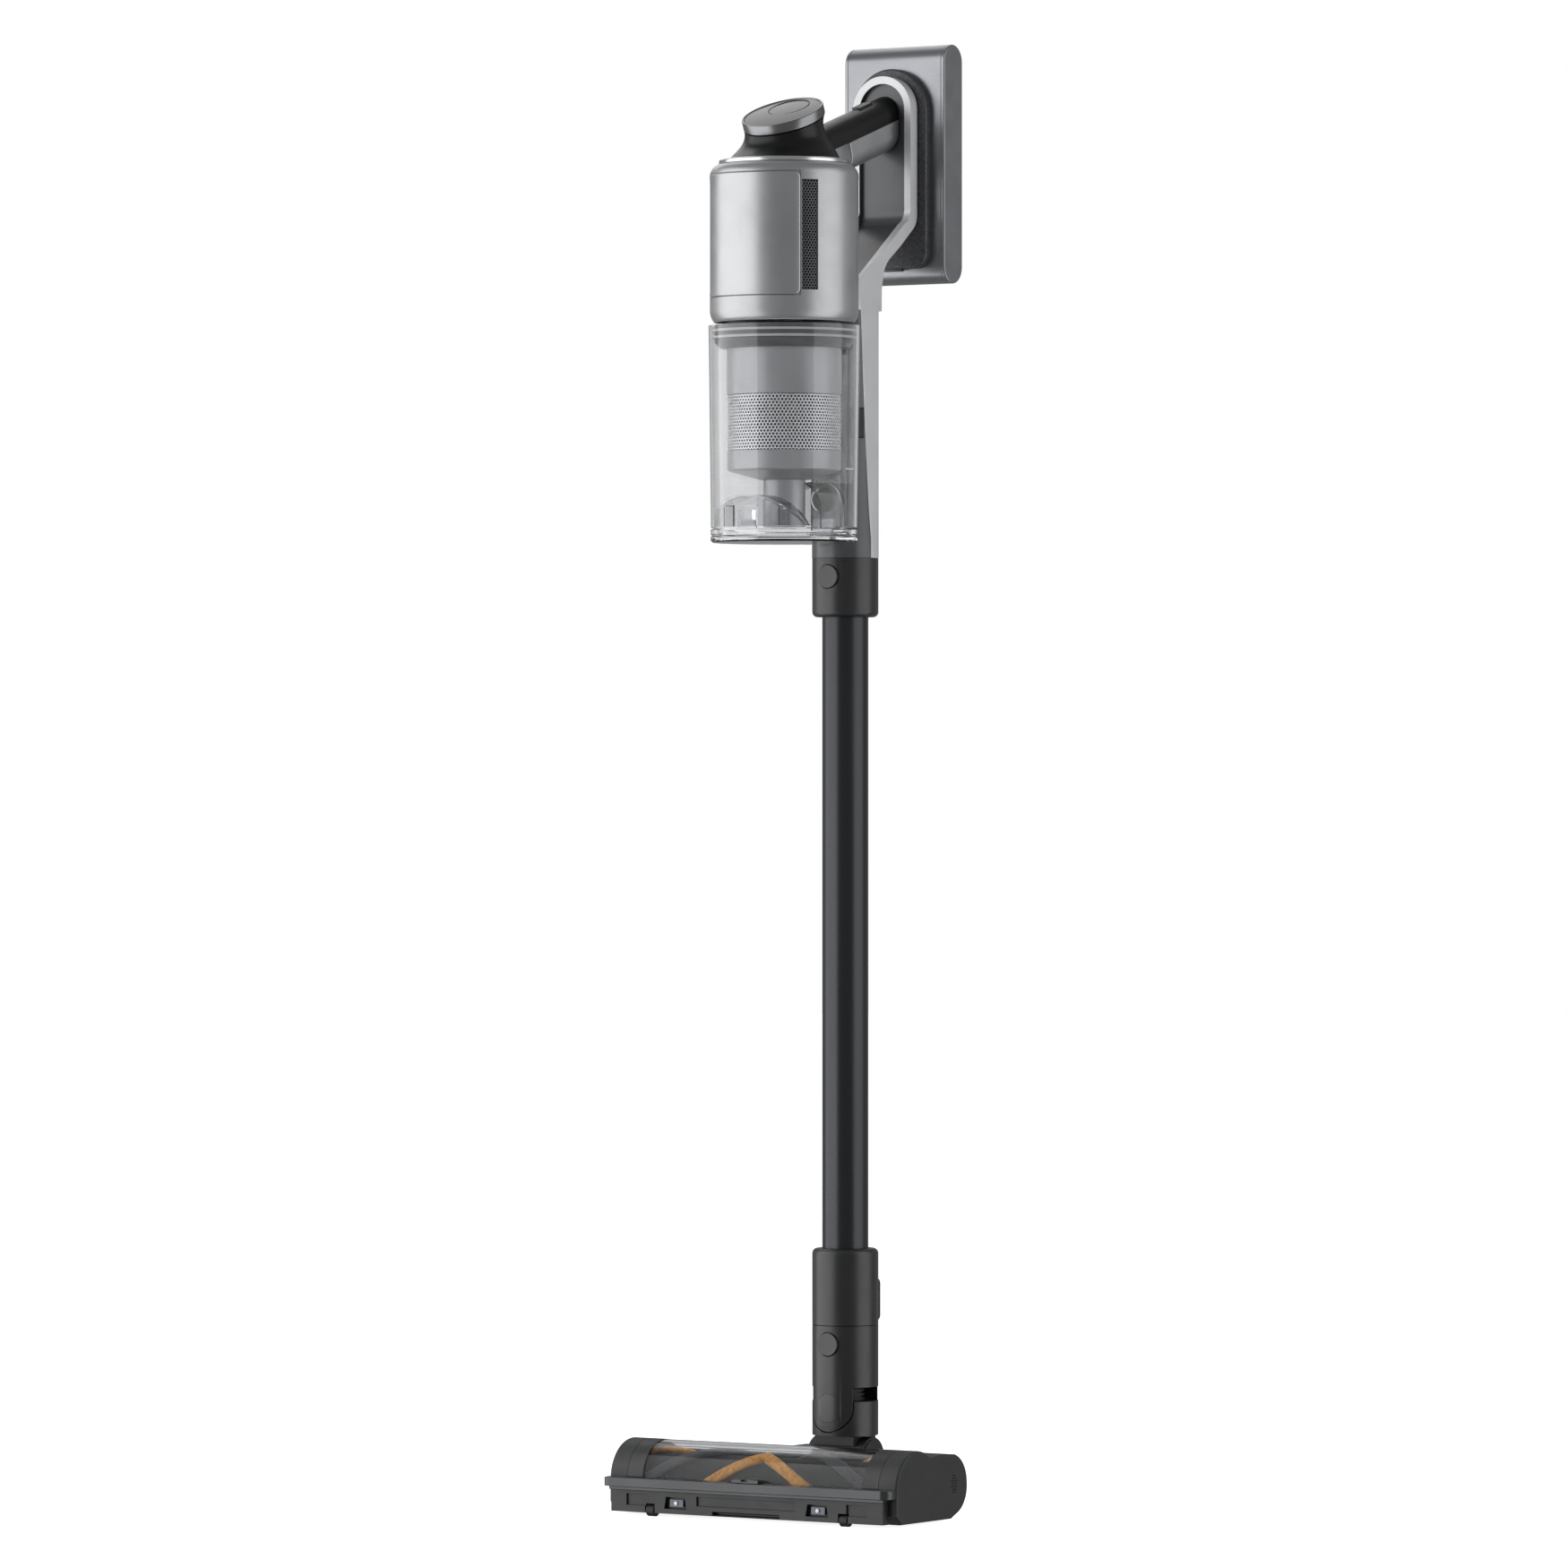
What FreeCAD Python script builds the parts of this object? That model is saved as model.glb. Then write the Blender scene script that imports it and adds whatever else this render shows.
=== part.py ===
"""Cordless stick vacuum: main unit with grip, removable battery and clear dust bin, wand, floor head.

Millimetres.  +Z is up, the floor head points to -Y and the battery is at the back (+Y).
Everything is drawn about the wand's axis (X = 0, Y = 0, floor at Z = 0) and is moved back
by ORIGIN_SHIFT at the end, so that the origin is the middle of the footprint, on the floor.
"""
import FreeCAD
import Part
import math
import os

V = FreeCAD.Vector

# ---------------------------------------------------------------- clearances
AIR = 0.3              # air between pieces of different bodies
RUN = 0.05             # radial running clearance of a pin in its hole
SEAT = 0.05            # gap between pieces that are pushed together by hand
FIT_GAP = 0.5          # gap round a button or slider in its pocket

# ---------------------------------------------------------------- wand
TUBE_R = 17.5          # outside radius of the wand tube
TUBE_WALL = 1.5
COLLAR_R = 25.1        # collars, head socket and neck share one outside radius
COLLAR_EDGE = 4.0      # rounding of the collar edges next to the tube
NECK_TOP_Z = 93.4      # shoulder of the head socket over the steering joint
SOCKET_LEN = 46.4      # head socket from its shoulder to the wand collar
LOW_COLLAR_LEN = 58.2  # wand's lower collar
TUBE_SHOWN = 478.0     # bare tube between the two collars
TOP_COLLAR_LEN = 44.7
SPIGOT_R = 18.6        # spigots that plug the wand and the head together
SPIGOT_WALL = 1.8
SPIGOT_LEN = 28.0
TUBE_GLUE_LEN = 20.0   # length of tube glued into each collar
BUTTON_R = 9.3         # round release buttons
BUTTON_DEPTH = 3.2     # thickness of a button from its face inwards
BUTTON_PROUD = 0.6

LOW_COLLAR_Z = NECK_TOP_Z + SOCKET_LEN
TUBE_LOW_Z = LOW_COLLAR_Z + LOW_COLLAR_LEN
TUBE_TOP_Z = TUBE_LOW_Z + TUBE_SHOWN
DUCT_Z = TUBE_TOP_Z + TOP_COLLAR_LEN          # joint between the wand and the main unit
HEAD_BUTTON_Z = LOW_COLLAR_Z - 13.8
WAND_BUTTON_Z = DUCT_Z - 14.3

PAD_WIDTH = 25.0       # contact cover on the back of the lower collar
PAD_LEN = 34.0
PAD_BACK = 31.0        # distance of its face from the wand axis

# ---------------------------------------------------------------- steering joint
STEER_DROP = 15.6      # pivot below the socket shoulder
EAR_HALF = 17.8
EAR_FLAT = 16.8        # flat inner faces of the ears, from the wand axis
SOCKET_WALL = 4.2
EAR_GAP = 0.9          # play round the ears while the neck steers
STEER_PIN_R = 6.0
STEER_PIN_HOLD = 2.2   # length of a pin held in the neck
PIVOT_CAP_R = 10.8
PIVOT_CAP_DEPTH = 1.2
SIDE_GAP = 10.8        # open gap at the sides of the steering joint
HOSE_R = 13.0
HOSE_RIB = 1.6
HOSE_RIBS = 3
STEER_Z = NECK_TOP_Z - STEER_DROP

# ---------------------------------------------------------------- pitch joint
PITCH_Z = 39.0
CHEEK_R = 16.4         # discs of the tail bracket round the pitch axis
CHEEK_IN = 17.6        # inside face of a cheek, from the middle plane
CHEEK_OUT = 24.6
BARREL_R = 15.6        # neck barrel between the cheeks
PITCH_PIN_R = 5.0
NECK_FLOOR_GAP = 1.2   # neck body above the cheeks

# ---------------------------------------------------------------- floor head
HEAD_HALF = 128.0      # half of the head's width
CAP_T = 16.0           # end caps
FRAME_W = 14.0         # opaque frames of the cover next to the end caps
ROLLER_R = 24.4        # tips of the strips
PILE_H = 4.4           # strips stand this high over the core
ROLLER_CORE_R = ROLLER_R - PILE_H
ROLLER_Y = -100.0
ROLLER_Z = ROLLER_R + 1.2
COVER_R = ROLLER_R + 5.6                      # outside of the round cover
COVER_T = 1.8
SOLE_Z = 2.0           # underside of the sole above the floor
WALL = 2.0
HEAD_BACK_Y = -30.0    # back of the rear housing
LIP_FRONT_Y = ROLLER_Y - COVER_R - 12.4
LIP_Z0 = ROLLER_Z - 3.9
LIP_Z1 = LIP_Z0 + 6.7
BUMPER_TOP_Z = LIP_Z0 - 2.5
WINDOW_X = HEAD_HALF - 65.0                   # headlight windows either side of the middle
LATCH_TRAVEL = 3.0     # slide of the cover's latch
LATCH_HALF_X = 11.5
HUB_R = 4.0
BEARING_R = 8.0
BEARING_LEN = 5.0
STRIP_COUNT = 2        # pile strips of each colour
GOLD_START = 112.0     # where the first gold strip's point stands, from the rear up over the top
STRIP_W = 10.0
STRIP_SWEEP = 165.0    # turn of a strip from the middle to the end of the roller
FRONT_WHEEL_R = 4.5
FRONT_WHEEL_X = HEAD_HALF - 42.0
FRONT_WHEEL_LEN = 7.0
FRONT_WHEEL_Y = LIP_FRONT_Y + 8.6
WHEEL_PIN_R = 1.2
REAR_WHEEL_R = 9.0
REAR_WHEEL_X = HEAD_HALF - 40.0
REAR_WHEEL_LEN = 9.0
REAR_WHEEL_Y = -58.0
BRUSH_MOTOR_R = 12.5
BRUSH_MOTOR_LEN = 62.0
BRUSH_MOTOR_Y = -56.0
BRUSH_MOTOR_Z = REAR_WHEEL_R + 5.5 + BRUSH_MOTOR_R     # clear of the wheel's cheeks
BIG_PULLEY_R = 12.0
SMALL_PULLEY_R = 6.0
PULLEY_W = 6.0
BELT_T = 1.4
BELT_AIR = 0.15        # between the belt and its pulleys
HINGE_X = HEAD_HALF - 25.5                    # cover hinges either side of the middle
KNUCKLE_R = 2.0
FOOT_AIR_R = 10.0      # air passage from the head to the neck

# ---------------------------------------------------------------- dust bin
DUCT_R = 25.3          # inlet duct in line with the wand
DUCT_WALL = 3.0
BIN_AIR = 2.9          # air between the duct and the top of the bin
BIN_TOP_R = 56.8
BIN_TAPER = 1.8
BIN_WALL = 2.0
BIN_LEN = 151.4        # cup
LID_T = 10.1
LID_RISE = 9.8         # lid above the joint of the wand
LATCH_CHORD = 30.0     # back wall of the latch pocket, from the bin axis
LATCH_HALF = 42.0
LATCH_PEAK = 24.0      # height of the pocket's arch
INLET_HALF = 22.0
INLET_PEAK = 35.5
INLET_DEPTH = 36.0
CYCLONE_R = 43.2
MESH_R = CYCLONE_R - 0.7
TAIL_R = 15.7
SEAL_H = 1.8
TAB_IN = 4.4           # lid's catch tab, inwards from the rim
TAB_T = 1.2
HINGE_PIN_R = 1.4
HINGE_BARREL_R = 2.6

BIN_Y = -(DUCT_R + BIN_AIR + BIN_TOP_R)       # axis of the bin, cyclone, motor and display
BIN_LOW_R = BIN_TOP_R - BIN_TAPER
FLANGE_R = BIN_TOP_R - BIN_WALL - 1.8
LID_Z = DUCT_Z + LID_RISE
CUP_Z = LID_Z + LID_T + 1.1
CUP_TOP_Z = CUP_Z + BIN_LEN
PORT_Z = LID_Z + 34.0                         # port between the duct and the bin
GASKET_R = 12.5
PORT_R = GASKET_R - 3.0

# ---------------------------------------------------------------- main unit
HOUSING_R = BIN_TOP_R - 1.0
HOUSING_WALL = 2.4
HOUSING_Z = CUP_TOP_Z + 2.3
HOUSING_LEN = 118.6    # up to the flat of its top
HOUSING_TOP_Z = HOUSING_Z + HOUSING_LEN
SHOULDER_R = HOUSING_R - 6.8
TOP_RING_R = SHOULDER_R - 5.0
COVER_PROUD = 0.35
COVER_HALF_ANGLE = 45.6
VENT_ANGLE = 13.0
DISC_R = 31.3          # display head
DISC_TILT = 24.0       # it rises to the back
DISC_Y = BIN_Y - 3.0
DISC_Z = HOUSING_TOP_Z + 40.0
SCREEN_R = 16.0        # round screen, near the high end of the glass
SCREEN_OFFSET = 10.0
RIM_H = 7.5
MOTOR_R = 27.0         # suction motor
DUCT_TOP_Z = HOUSING_Z + 22.6
FLAT_TIP_Z = DUCT_Z + 29.3                    # where the side flats of the duct run out
FLAT_HALF = 22.0
RELEASE_Z = LID_Z + 92.0
RELEASE_HALF_H = 11.0
RELEASE_IN = 18.2      # inner end of the bin release, from the middle plane
SPINE_HALF = 26.0
SPINE_RIM = 6.0
SPINE_RIM_DEPTH = 3.5
SPINE_BACK_Y = 61.0
DIAGONAL_Z = DUCT_TOP_Z + 12.0                # foot of the spine's diagonal, at its inner face
ARCH_Z = HOUSING_TOP_Z + 49.6
GRIP_TILT = 17.5
GRIP_HALF = 14.0
GRIP_H = 41.0
GRIP_SPLIT = 3.0       # seam between cover and shell above the grip's centre line
GRIP_Y = 20.0
GRIP_Z = HOUSING_TOP_Z + 28.3
GRIP_FRONT = -36.0     # blunt front end of the grip shell, along the grip

# ---------------------------------------------------------------- battery
PACK_HALF = 45.0
PACK_Y0 = SPINE_BACK_Y + 8.5
PACK_DEPTH = 26.5
PACK_H = 182.4
PACK_RISE = 50.4       # battery's top above the centre of the spine's arch
PACK_WALL = 2.2
PACK_CAP_T = 3.0
CELL_R = 9.1
CELL_LEN = 65.0
CELL_COUNT = 8
BOSS_HALF = 33.0
PACK_Z0 = ARCH_Z + PACK_RISE - PACK_H
BOSS_Z0 = PACK_Z0 + 11.4

PACK_BACK_Y = PACK_Y0 + PACK_DEPTH
ORIGIN_SHIFT = -(min(LIP_FRONT_Y, BIN_Y - BIN_TOP_R) + PACK_BACK_Y) / 2

# ---------------------------------------------------------------- helpers
NODES = {}


def add(name, *solids):
    """Keep the solids of one sub-part under its node name."""
    NODES[name] = list(solids)


def cyl(radius, z0, z1, x=0.0, y=0.0):
    """Upright cylinder."""
    return Part.makeCylinder(radius, z1 - z0, V(x, y, z0))


def ring(outer, inner, z0, z1, x=0.0, y=0.0):
    """Upright tube."""
    return cyl(outer, z0, z1, x, y).cut(cyl(inner, z0 - 1, z1 + 1, x, y))


def cyl_x(radius, x0, x1, y, z):
    """Cylinder along X."""
    return Part.makeCylinder(radius, x1 - x0, V(x0, y, z), V(1, 0, 0))


def ring_x(outer, inner, x0, x1, y, z):
    """Tube along X."""
    return cyl_x(outer, x0, x1, y, z).cut(cyl_x(inner, x0 - 1, x1 + 1, y, z))


def cyl_y(radius, y0, y1, x, z):
    """Cylinder along Y."""
    return Part.makeCylinder(radius, y1 - y0, V(x, y0, z), V(0, 1, 0))


def box(x0, x1, y0, y1, z0, z1):
    """Box between two corners."""
    return Part.makeBox(x1 - x0, y1 - y0, z1 - z0, V(x0, y0, z0))


def wire_of(points, close=True):
    """Closed wire through points; a point given as (mid, end) makes an arc from the one before."""
    edges = []
    last = points[0]
    first = last
    rest = list(points[1:])
    if close:
        rest.append(first)
    for point in rest:
        if isinstance(point[0], tuple):
            mid, end = point
            edges.append(Part.Arc(V(*last), V(*mid), V(*end)).toShape())
            last = end
        elif math.dist(last, point) > 1e-6:
            edges.append(Part.LineSegment(V(*last), V(*point)).toShape())
            last = point
    return Part.Wire(edges)


def side_face(points, x):
    """Face in the side view: points are (y, z), or ((y, z), (y, z)) for an arc's middle and end."""
    spatial = []
    for point in points:
        if isinstance(point[0], tuple):
            spatial.append(tuple((x, p[0], p[1]) for p in point))
        else:
            spatial.append((x, point[0], point[1]))
    return Part.Face(wire_of(spatial))


def side_plate(points, x0, x1):
    """A side-view outline drawn out along X."""
    return side_face(points, x0).extrude(V(x1 - x0, 0, 0))


def front_plate(points, y0, y1):
    """A front-view outline, with points (x, z), drawn out along Y."""
    spatial = []
    for point in points:
        if isinstance(point[0], tuple):
            spatial.append(tuple((p[0], y0, p[1]) for p in point))
        else:
            spatial.append((point[0], y0, point[1]))
    return Part.Face(wire_of(spatial)).extrude(V(0, y1 - y0, 0))


def turned(points, y=0.0):
    """Solid of revolution about the upright line X = 0, Y = y, from points (radius, z)."""
    spatial = []
    for point in points:
        if isinstance(point[0], tuple):
            spatial.append(tuple((p[0], y, p[1]) for p in point))
        else:
            spatial.append((point[0], y, point[1]))
    return Part.Face(wire_of(spatial)).revolve(V(0, y, 0), V(0, 0, 1), 360)


def sector(outer, inner, angle0, angle1, z0, z1, y):
    """Part of an upright tube between two angles, measured from -Y towards +X."""
    solid = Part.makeCylinder(outer, z1 - z0, V(0, y, z0), V(0, 0, 1), angle1 - angle0)
    solid.rotate(V(0, y, 0), V(0, 0, 1), angle0 - 90)
    return solid.cut(cyl(inner, z0 - 1, z1 + 1, 0, y))


def arch(half, z0, top, y0, y1, x=0.0):
    """Upright slab seen from the front with a half-round top."""
    springing = top - half
    outline = [(x - half, z0), (x - half, springing), ((x, top), (x + half, springing)), (x + half, z0)]
    return front_plate(outline, y0, y1)


def mirrored(solid):
    """The solid's twin on the other side of the middle plane."""
    return solid.mirror(V(0, 0, 0), V(1, 0, 0))


def pair(solid):
    """A solid and its twin."""
    return [solid, mirrored(solid)]


def rounded(solid, radius, keep):
    """Fillet the edges for which keep(edge) holds."""
    return solid.makeFillet(radius, [edge for edge in solid.Edges if keep(edge)])


def flat_edge(axis, value):
    """Test for an edge that lies wholly in a plane across an axis (0 = X, 1 = Y, 2 = Z)."""
    def test(edge):
        low = edge.BoundBox
        limits = ((low.XMin, low.XMax), (low.YMin, low.YMax), (low.ZMin, low.ZMax))[axis]
        return abs(limits[0] - value) < 1e-4 and abs(limits[1] - value) < 1e-4
    return test


def round_button(z, y_face):
    """Round push button that faces -Y, with a flange to keep it in."""
    return cyl_y(BUTTON_R - FIT_GAP, y_face, y_face + BUTTON_DEPTH, 0, z)


def button_pocket(z, y_face):
    """Pocket for a round button and its travel."""
    return cyl_y(BUTTON_R, y_face - 5, y_face + BUTTON_DEPTH + 2 * BUTTON_PROUD + AIR, 0, z)


# ---------------------------------------------------------------- main unit
RING_TOP_Z = HOUSING_TOP_Z + 3.4
COVER_Z0 = HOUSING_Z + 18.2
COVER_Z1 = HOUSING_TOP_Z - 8.2
VENT_Z0 = COVER_Z0 + 4.0
VENT_Z1 = COVER_Z1 - 6.1
VENT_START = COVER_HALF_ANGLE + 1.2
BULKHEAD_Z = HOUSING_Z + 17.0
MOTOR_Z = BULKHEAD_Z + 12.0


def housing_outline(grow):
    """Outer profile of the motor housing, grown by a few tenths for what lies proud of it."""
    r = HOUSING_R + grow
    bend_z = HOUSING_TOP_Z - 11.4
    middle = (r - 1.8, bend_z + 7.8)
    return [(0, HOUSING_Z), (r - 3.2, HOUSING_Z), ((r - 0.9, HOUSING_Z + 4.0), (r, HOUSING_Z + 9.6)),
            (r, bend_z), (middle, (SHOULDER_R + grow, HOUSING_TOP_Z)), (0, HOUSING_TOP_Z)]


def motor_housing():
    """Shell with the seat of the front cover, two vent windows and the top opening."""
    shell = turned(housing_outline(0), BIN_Y)
    hollow_r = HOUSING_R - HOUSING_WALL
    shell = shell.cut(cyl(hollow_r - 3.4, HOUSING_Z - 1, HOUSING_Z + 10, 0, BIN_Y))
    shell = shell.cut(cyl(hollow_r, HOUSING_Z + 9.6, HOUSING_TOP_Z - 11.4, 0, BIN_Y))
    dome = Part.makeCone(hollow_r, SHOULDER_R - HOUSING_WALL, 9.0, V(0, BIN_Y, HOUSING_TOP_Z - 11.4))
    shell = shell.cut(dome)
    shell = shell.cut(cyl(TOP_RING_R - 0.4, HOUSING_TOP_Z - 5, HOUSING_TOP_Z + 1, 0, BIN_Y))
    seat = sector(HOUSING_R + 5, HOUSING_R - 1.1, -COVER_HALF_ANGLE - 0.4, COVER_HALF_ANGLE + 0.4,
                  COVER_Z0 - 0.4, COVER_Z1 + 0.4, BIN_Y)
    shell = shell.cut(seat)
    window = sector(HOUSING_R + 5, hollow_r - 5, VENT_START, VENT_START + VENT_ANGLE,
                    VENT_Z0, VENT_Z1, BIN_Y)
    return shell.cut(window).cut(mirrored(window))


def front_cover():
    """Curved panel over the front half of the housing."""
    panel = sector(HOUSING_R + 5, HOUSING_R - 1.0, -COVER_HALF_ANGLE, COVER_HALF_ANGLE,
                   COVER_Z0, COVER_Z1, BIN_Y)
    return panel.common(turned(housing_outline(COVER_PROUD), BIN_Y))


def vent_grille():
    """Curved plate with rows of slots that fills the right-hand vent window."""
    plate_r = HOUSING_R - 0.7
    plate = sector(plate_r, plate_r - 1.0, VENT_START + 0.3, VENT_START + VENT_ANGLE - 0.3,
                   VENT_Z0 + 0.3, VENT_Z1 - 0.3, BIN_Y)
    rows = int((VENT_Z1 - VENT_Z0) / 5.0)
    for row in range(rows):
        slot_z = VENT_Z0 + 2.0 + 5.0 * row
        plate = plate.cut(sector(plate_r + 1, plate_r - 2, VENT_START + 1.6, VENT_START + VENT_ANGLE - 1.6,
                                 slot_z, slot_z + 2.6, BIN_Y))
    return plate


def display_frame(solid):
    """Tilt a solid drawn about the origin, with its top at Z = 0, into the display's place."""
    solid.rotate(V(0, 0, 0), V(1, 0, 0), DISC_TILT)
    solid.translate(V(0, DISC_Y, DISC_Z))
    return solid


def tilted_circle(radius, height, tilt, y):
    """Wire of a circle that leans back by tilt degrees."""
    normal = V(0, -math.sin(math.radians(tilt)), math.cos(math.radians(tilt)))
    return Part.Wire([Part.makeCircle(radius, V(0, y, height), normal)])


def display_neck():
    """Flared neck under the display, hollow for the control board."""
    drop = RIM_H / math.cos(math.radians(DISC_TILT))
    rings = [tilted_circle(TOP_RING_R - 0.8, RING_TOP_Z - 3.0, 0, BIN_Y),
             tilted_circle(TOP_RING_R - 3.0, RING_TOP_Z + 2.0, 3, BIN_Y),
             tilted_circle(DISC_R + 2.6, RING_TOP_Z + 12.0, 12, BIN_Y - 0.6),
             tilted_circle(DISC_R - 0.4, DISC_Z - drop, DISC_TILT, DISC_Y + 3.2)]
    neck = Part.makeLoft(rings, True)
    return neck.cut(cyl(DISC_R - 5.0, RING_TOP_Z - 5, RING_TOP_Z + 8.0, 0, BIN_Y))


def grip_frame(solid):
    """Turn a solid drawn along Y about the origin into the grip's place."""
    solid.rotate(V(0, 0, 0), V(1, 0, 0), GRIP_TILT)
    solid.translate(V(0, GRIP_Y, GRIP_Z))
    return solid


def grip_bar(half, height, y0, y1):
    """Bar along Y with half-round top and bottom."""
    flat = height / 2 - half
    outline = [(-half, -flat), (-half, flat), ((0, height / 2), (half, flat)), (half, -flat),
               ((0, -height / 2), (-half, -flat))]
    return front_plate(outline, y0, y1)


def power_button_at(grow, sink):
    """Raised button on top of the grip; grow and sink make its pocket."""
    top = GRIP_H / 2 + 1.0
    body = box(-4.0 - grow, 4.0 + grow, 2.0 - grow, 19.0 + grow, top - 4.0 - sink, top + 8 * grow)
    return grip_frame(body)


def grip_cover():
    """Soft upper half of the grip, running from the neck to the spine."""
    bar = grip_bar(GRIP_HALF - 0.4, GRIP_H - 0.6, -95.0, 60.0)
    bar = bar.cut(box(-30, 30, -100, 100, -40, GRIP_SPLIT))
    bar = grip_frame(bar)
    bar = bar.cut(box(-40, 40, SPINE_BACK_Y - SPINE_RIM_DEPTH - 3.0, 200, HOUSING_Z, HOUSING_Z + 300))
    bar = bar.cut(box(-40, 40, -300, BIN_Y + 24.0, HOUSING_Z, HOUSING_Z + 300))
    bar = bar.cut(cyl(HOUSING_R, HOUSING_Z, RING_TOP_Z, 0, BIN_Y))
    bar = bar.cut(display_neck()).cut(cyl(DISC_R - 4.9, HOUSING_Z, RING_TOP_Z + 10, 0, BIN_Y))
    bar = max(bar.Solids, key=lambda solid: solid.Volume)
    return bar.cut(power_button_at(FIT_GAP, 2.2))


def grip_shell():
    """Lower shell of the grip with a blunt front end."""
    bar = grip_bar(GRIP_HALF, GRIP_H, GRIP_FRONT, 60.0)
    bar = bar.cut(box(-30, 30, -100, 100, GRIP_SPLIT, 40))
    bar = bar.cut(grip_bar(GRIP_HALF - 3.0, GRIP_H - 6.0, GRIP_FRONT + 4, 70.0))
    bar = grip_frame(bar)
    bar = bar.cut(box(-40, 40, SPINE_BACK_Y - SPINE_RIM_DEPTH - 3.0, 200, HOUSING_Z, HOUSING_Z + 300))
    return bar.cut(cyl(HOUSING_R + 0.2, HOUSING_Z, HOUSING_TOP_Z + 4, 0, BIN_Y))


def spine_outline(shrink):
    """Side view of the spine; shrink moves the inner edge back for the hollow behind the rims."""
    inner = SPINE_BACK_Y - SPINE_RIM_DEPTH - 6.0 + shrink
    top = ARCH_Z + SPINE_HALF + 1
    foot = BIN_Y + HOUSING_R - 8.0
    low = DUCT_TOP_Z - 10
    z = DIAGONAL_Z
    return [(foot, low), (foot, z), (-19.0 + shrink, z - shrink), (43.5 + shrink, z + 46.0 - shrink * 0.8),
            ((inner - 1.3 + 0.2 * shrink, z + 52.0), (inner, z + 60.0)), (inner, top),
            (SPINE_BACK_Y, top), (SPINE_BACK_Y, z + 56.0),
            ((SPINE_BACK_Y - 1.0, z + 48.6), (SPINE_BACK_Y - 5.4, z + 42.6)), (25.0, z + 19.0),
            ((18.6, z + 11.4), (17.0, z + 2.0)), (17.0, low)]


def duct_flats(solid, radius_half):
    """Cut the two slanting side flats of the inlet duct, which run out to a point below."""
    slope = [(radius_half, DUCT_TOP_Z + 40), (radius_half, DUCT_TOP_Z), (DUCT_R, FLAT_TIP_Z),
             (DUCT_R + 9, FLAT_TIP_Z), (DUCT_R + 9, DUCT_TOP_Z + 40)]
    wedge = front_plate(slope, -40, 40)
    return solid.cut(wedge).cut(mirrored(wedge))


def handle_frame():
    """Spine: inlet duct, diagonal, upright channel and arch in one casting."""
    duct = duct_flats(cyl(DUCT_R, DUCT_Z, DUCT_TOP_Z + 14), FLAT_HALF)
    blade = side_plate(spine_outline(0), -SPINE_HALF, SPINE_HALF)
    taper_low, taper_high = DUCT_TOP_Z + 6, DUCT_TOP_Z + 40
    taper = front_plate([(-FLAT_HALF, DUCT_TOP_Z - 20), (-FLAT_HALF, taper_low), (-SPINE_HALF, taper_high),
                         (-SPINE_HALF, ARCH_Z), ((0, ARCH_Z + SPINE_HALF), (SPINE_HALF, ARCH_Z)),
                         (SPINE_HALF, taper_high), (FLAT_HALF, taper_low), (FLAT_HALF, DUCT_TOP_Z - 20)],
                        -60, 80)
    frame = blade.common(taper)
    hollow = side_plate(spine_outline(SPINE_RIM_DEPTH), -SPINE_HALF + SPINE_RIM, SPINE_HALF - SPINE_RIM)
    channel = arch(SPINE_HALF - SPINE_RIM, DIAGONAL_Z + 10, ARCH_Z + SPINE_HALF - SPINE_RIM, -14,
                   SPINE_BACK_Y + 9)
    recess = side_plate(spine_outline(0), -SPINE_HALF + SPINE_RIM, SPINE_HALF - SPINE_RIM).cut(hollow)
    frame = frame.cut(recess.common(channel))
    frame = frame.fuse(duct)
    bore_r = DUCT_R - DUCT_WALL
    frame = frame.cut(cyl(SPIGOT_R + SEAT + RUN, DUCT_Z - 1, DUCT_Z + SPIGOT_LEN + 1))
    frame = frame.cut(cyl(bore_r - 2.5, DUCT_Z, DUCT_TOP_Z - 40))
    frame = frame.cut(cyl(HOUSING_R + 0.2, HOUSING_Z - 5, HOUSING_TOP_Z + 60, 0, BIN_Y))
    frame = frame.cut(cyl(BIN_TOP_R + 0.8, DUCT_Z - 5, HOUSING_Z + 0.1, 0, BIN_Y))
    port = cyl_y(PORT_R, -DUCT_R - 3, 0, 0, PORT_Z)
    frame = frame.cut(port).cut(release_pocket())
    return frame.removeSplitter()


def duct_gasket():
    """Soft gasket between the duct's port and the bin's inlet."""
    pad = cyl_y(GASKET_R, -DUCT_R - 2.7, -10, 0, PORT_Z).cut(cyl_y(PORT_R, -50, 0, 0, PORT_Z))
    return pad.cut(cyl(DUCT_R, DUCT_Z, DUCT_TOP_Z)).cut(cyl(BIN_TOP_R + AIR, LID_Z, HOUSING_Z, 0, BIN_Y))


def release_block(grow, out):
    """Block of the bin release on the right side of the duct."""
    return box(RELEASE_IN - 4 * grow, out, -17.5 - grow, -10.5 + grow, RELEASE_Z - RELEASE_HALF_H - grow,
               RELEASE_Z + RELEASE_HALF_H + grow)


def release_pocket():
    """Pocket of the bin release and room for its stroke."""
    return release_block(FIT_GAP, 40.0)


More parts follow.
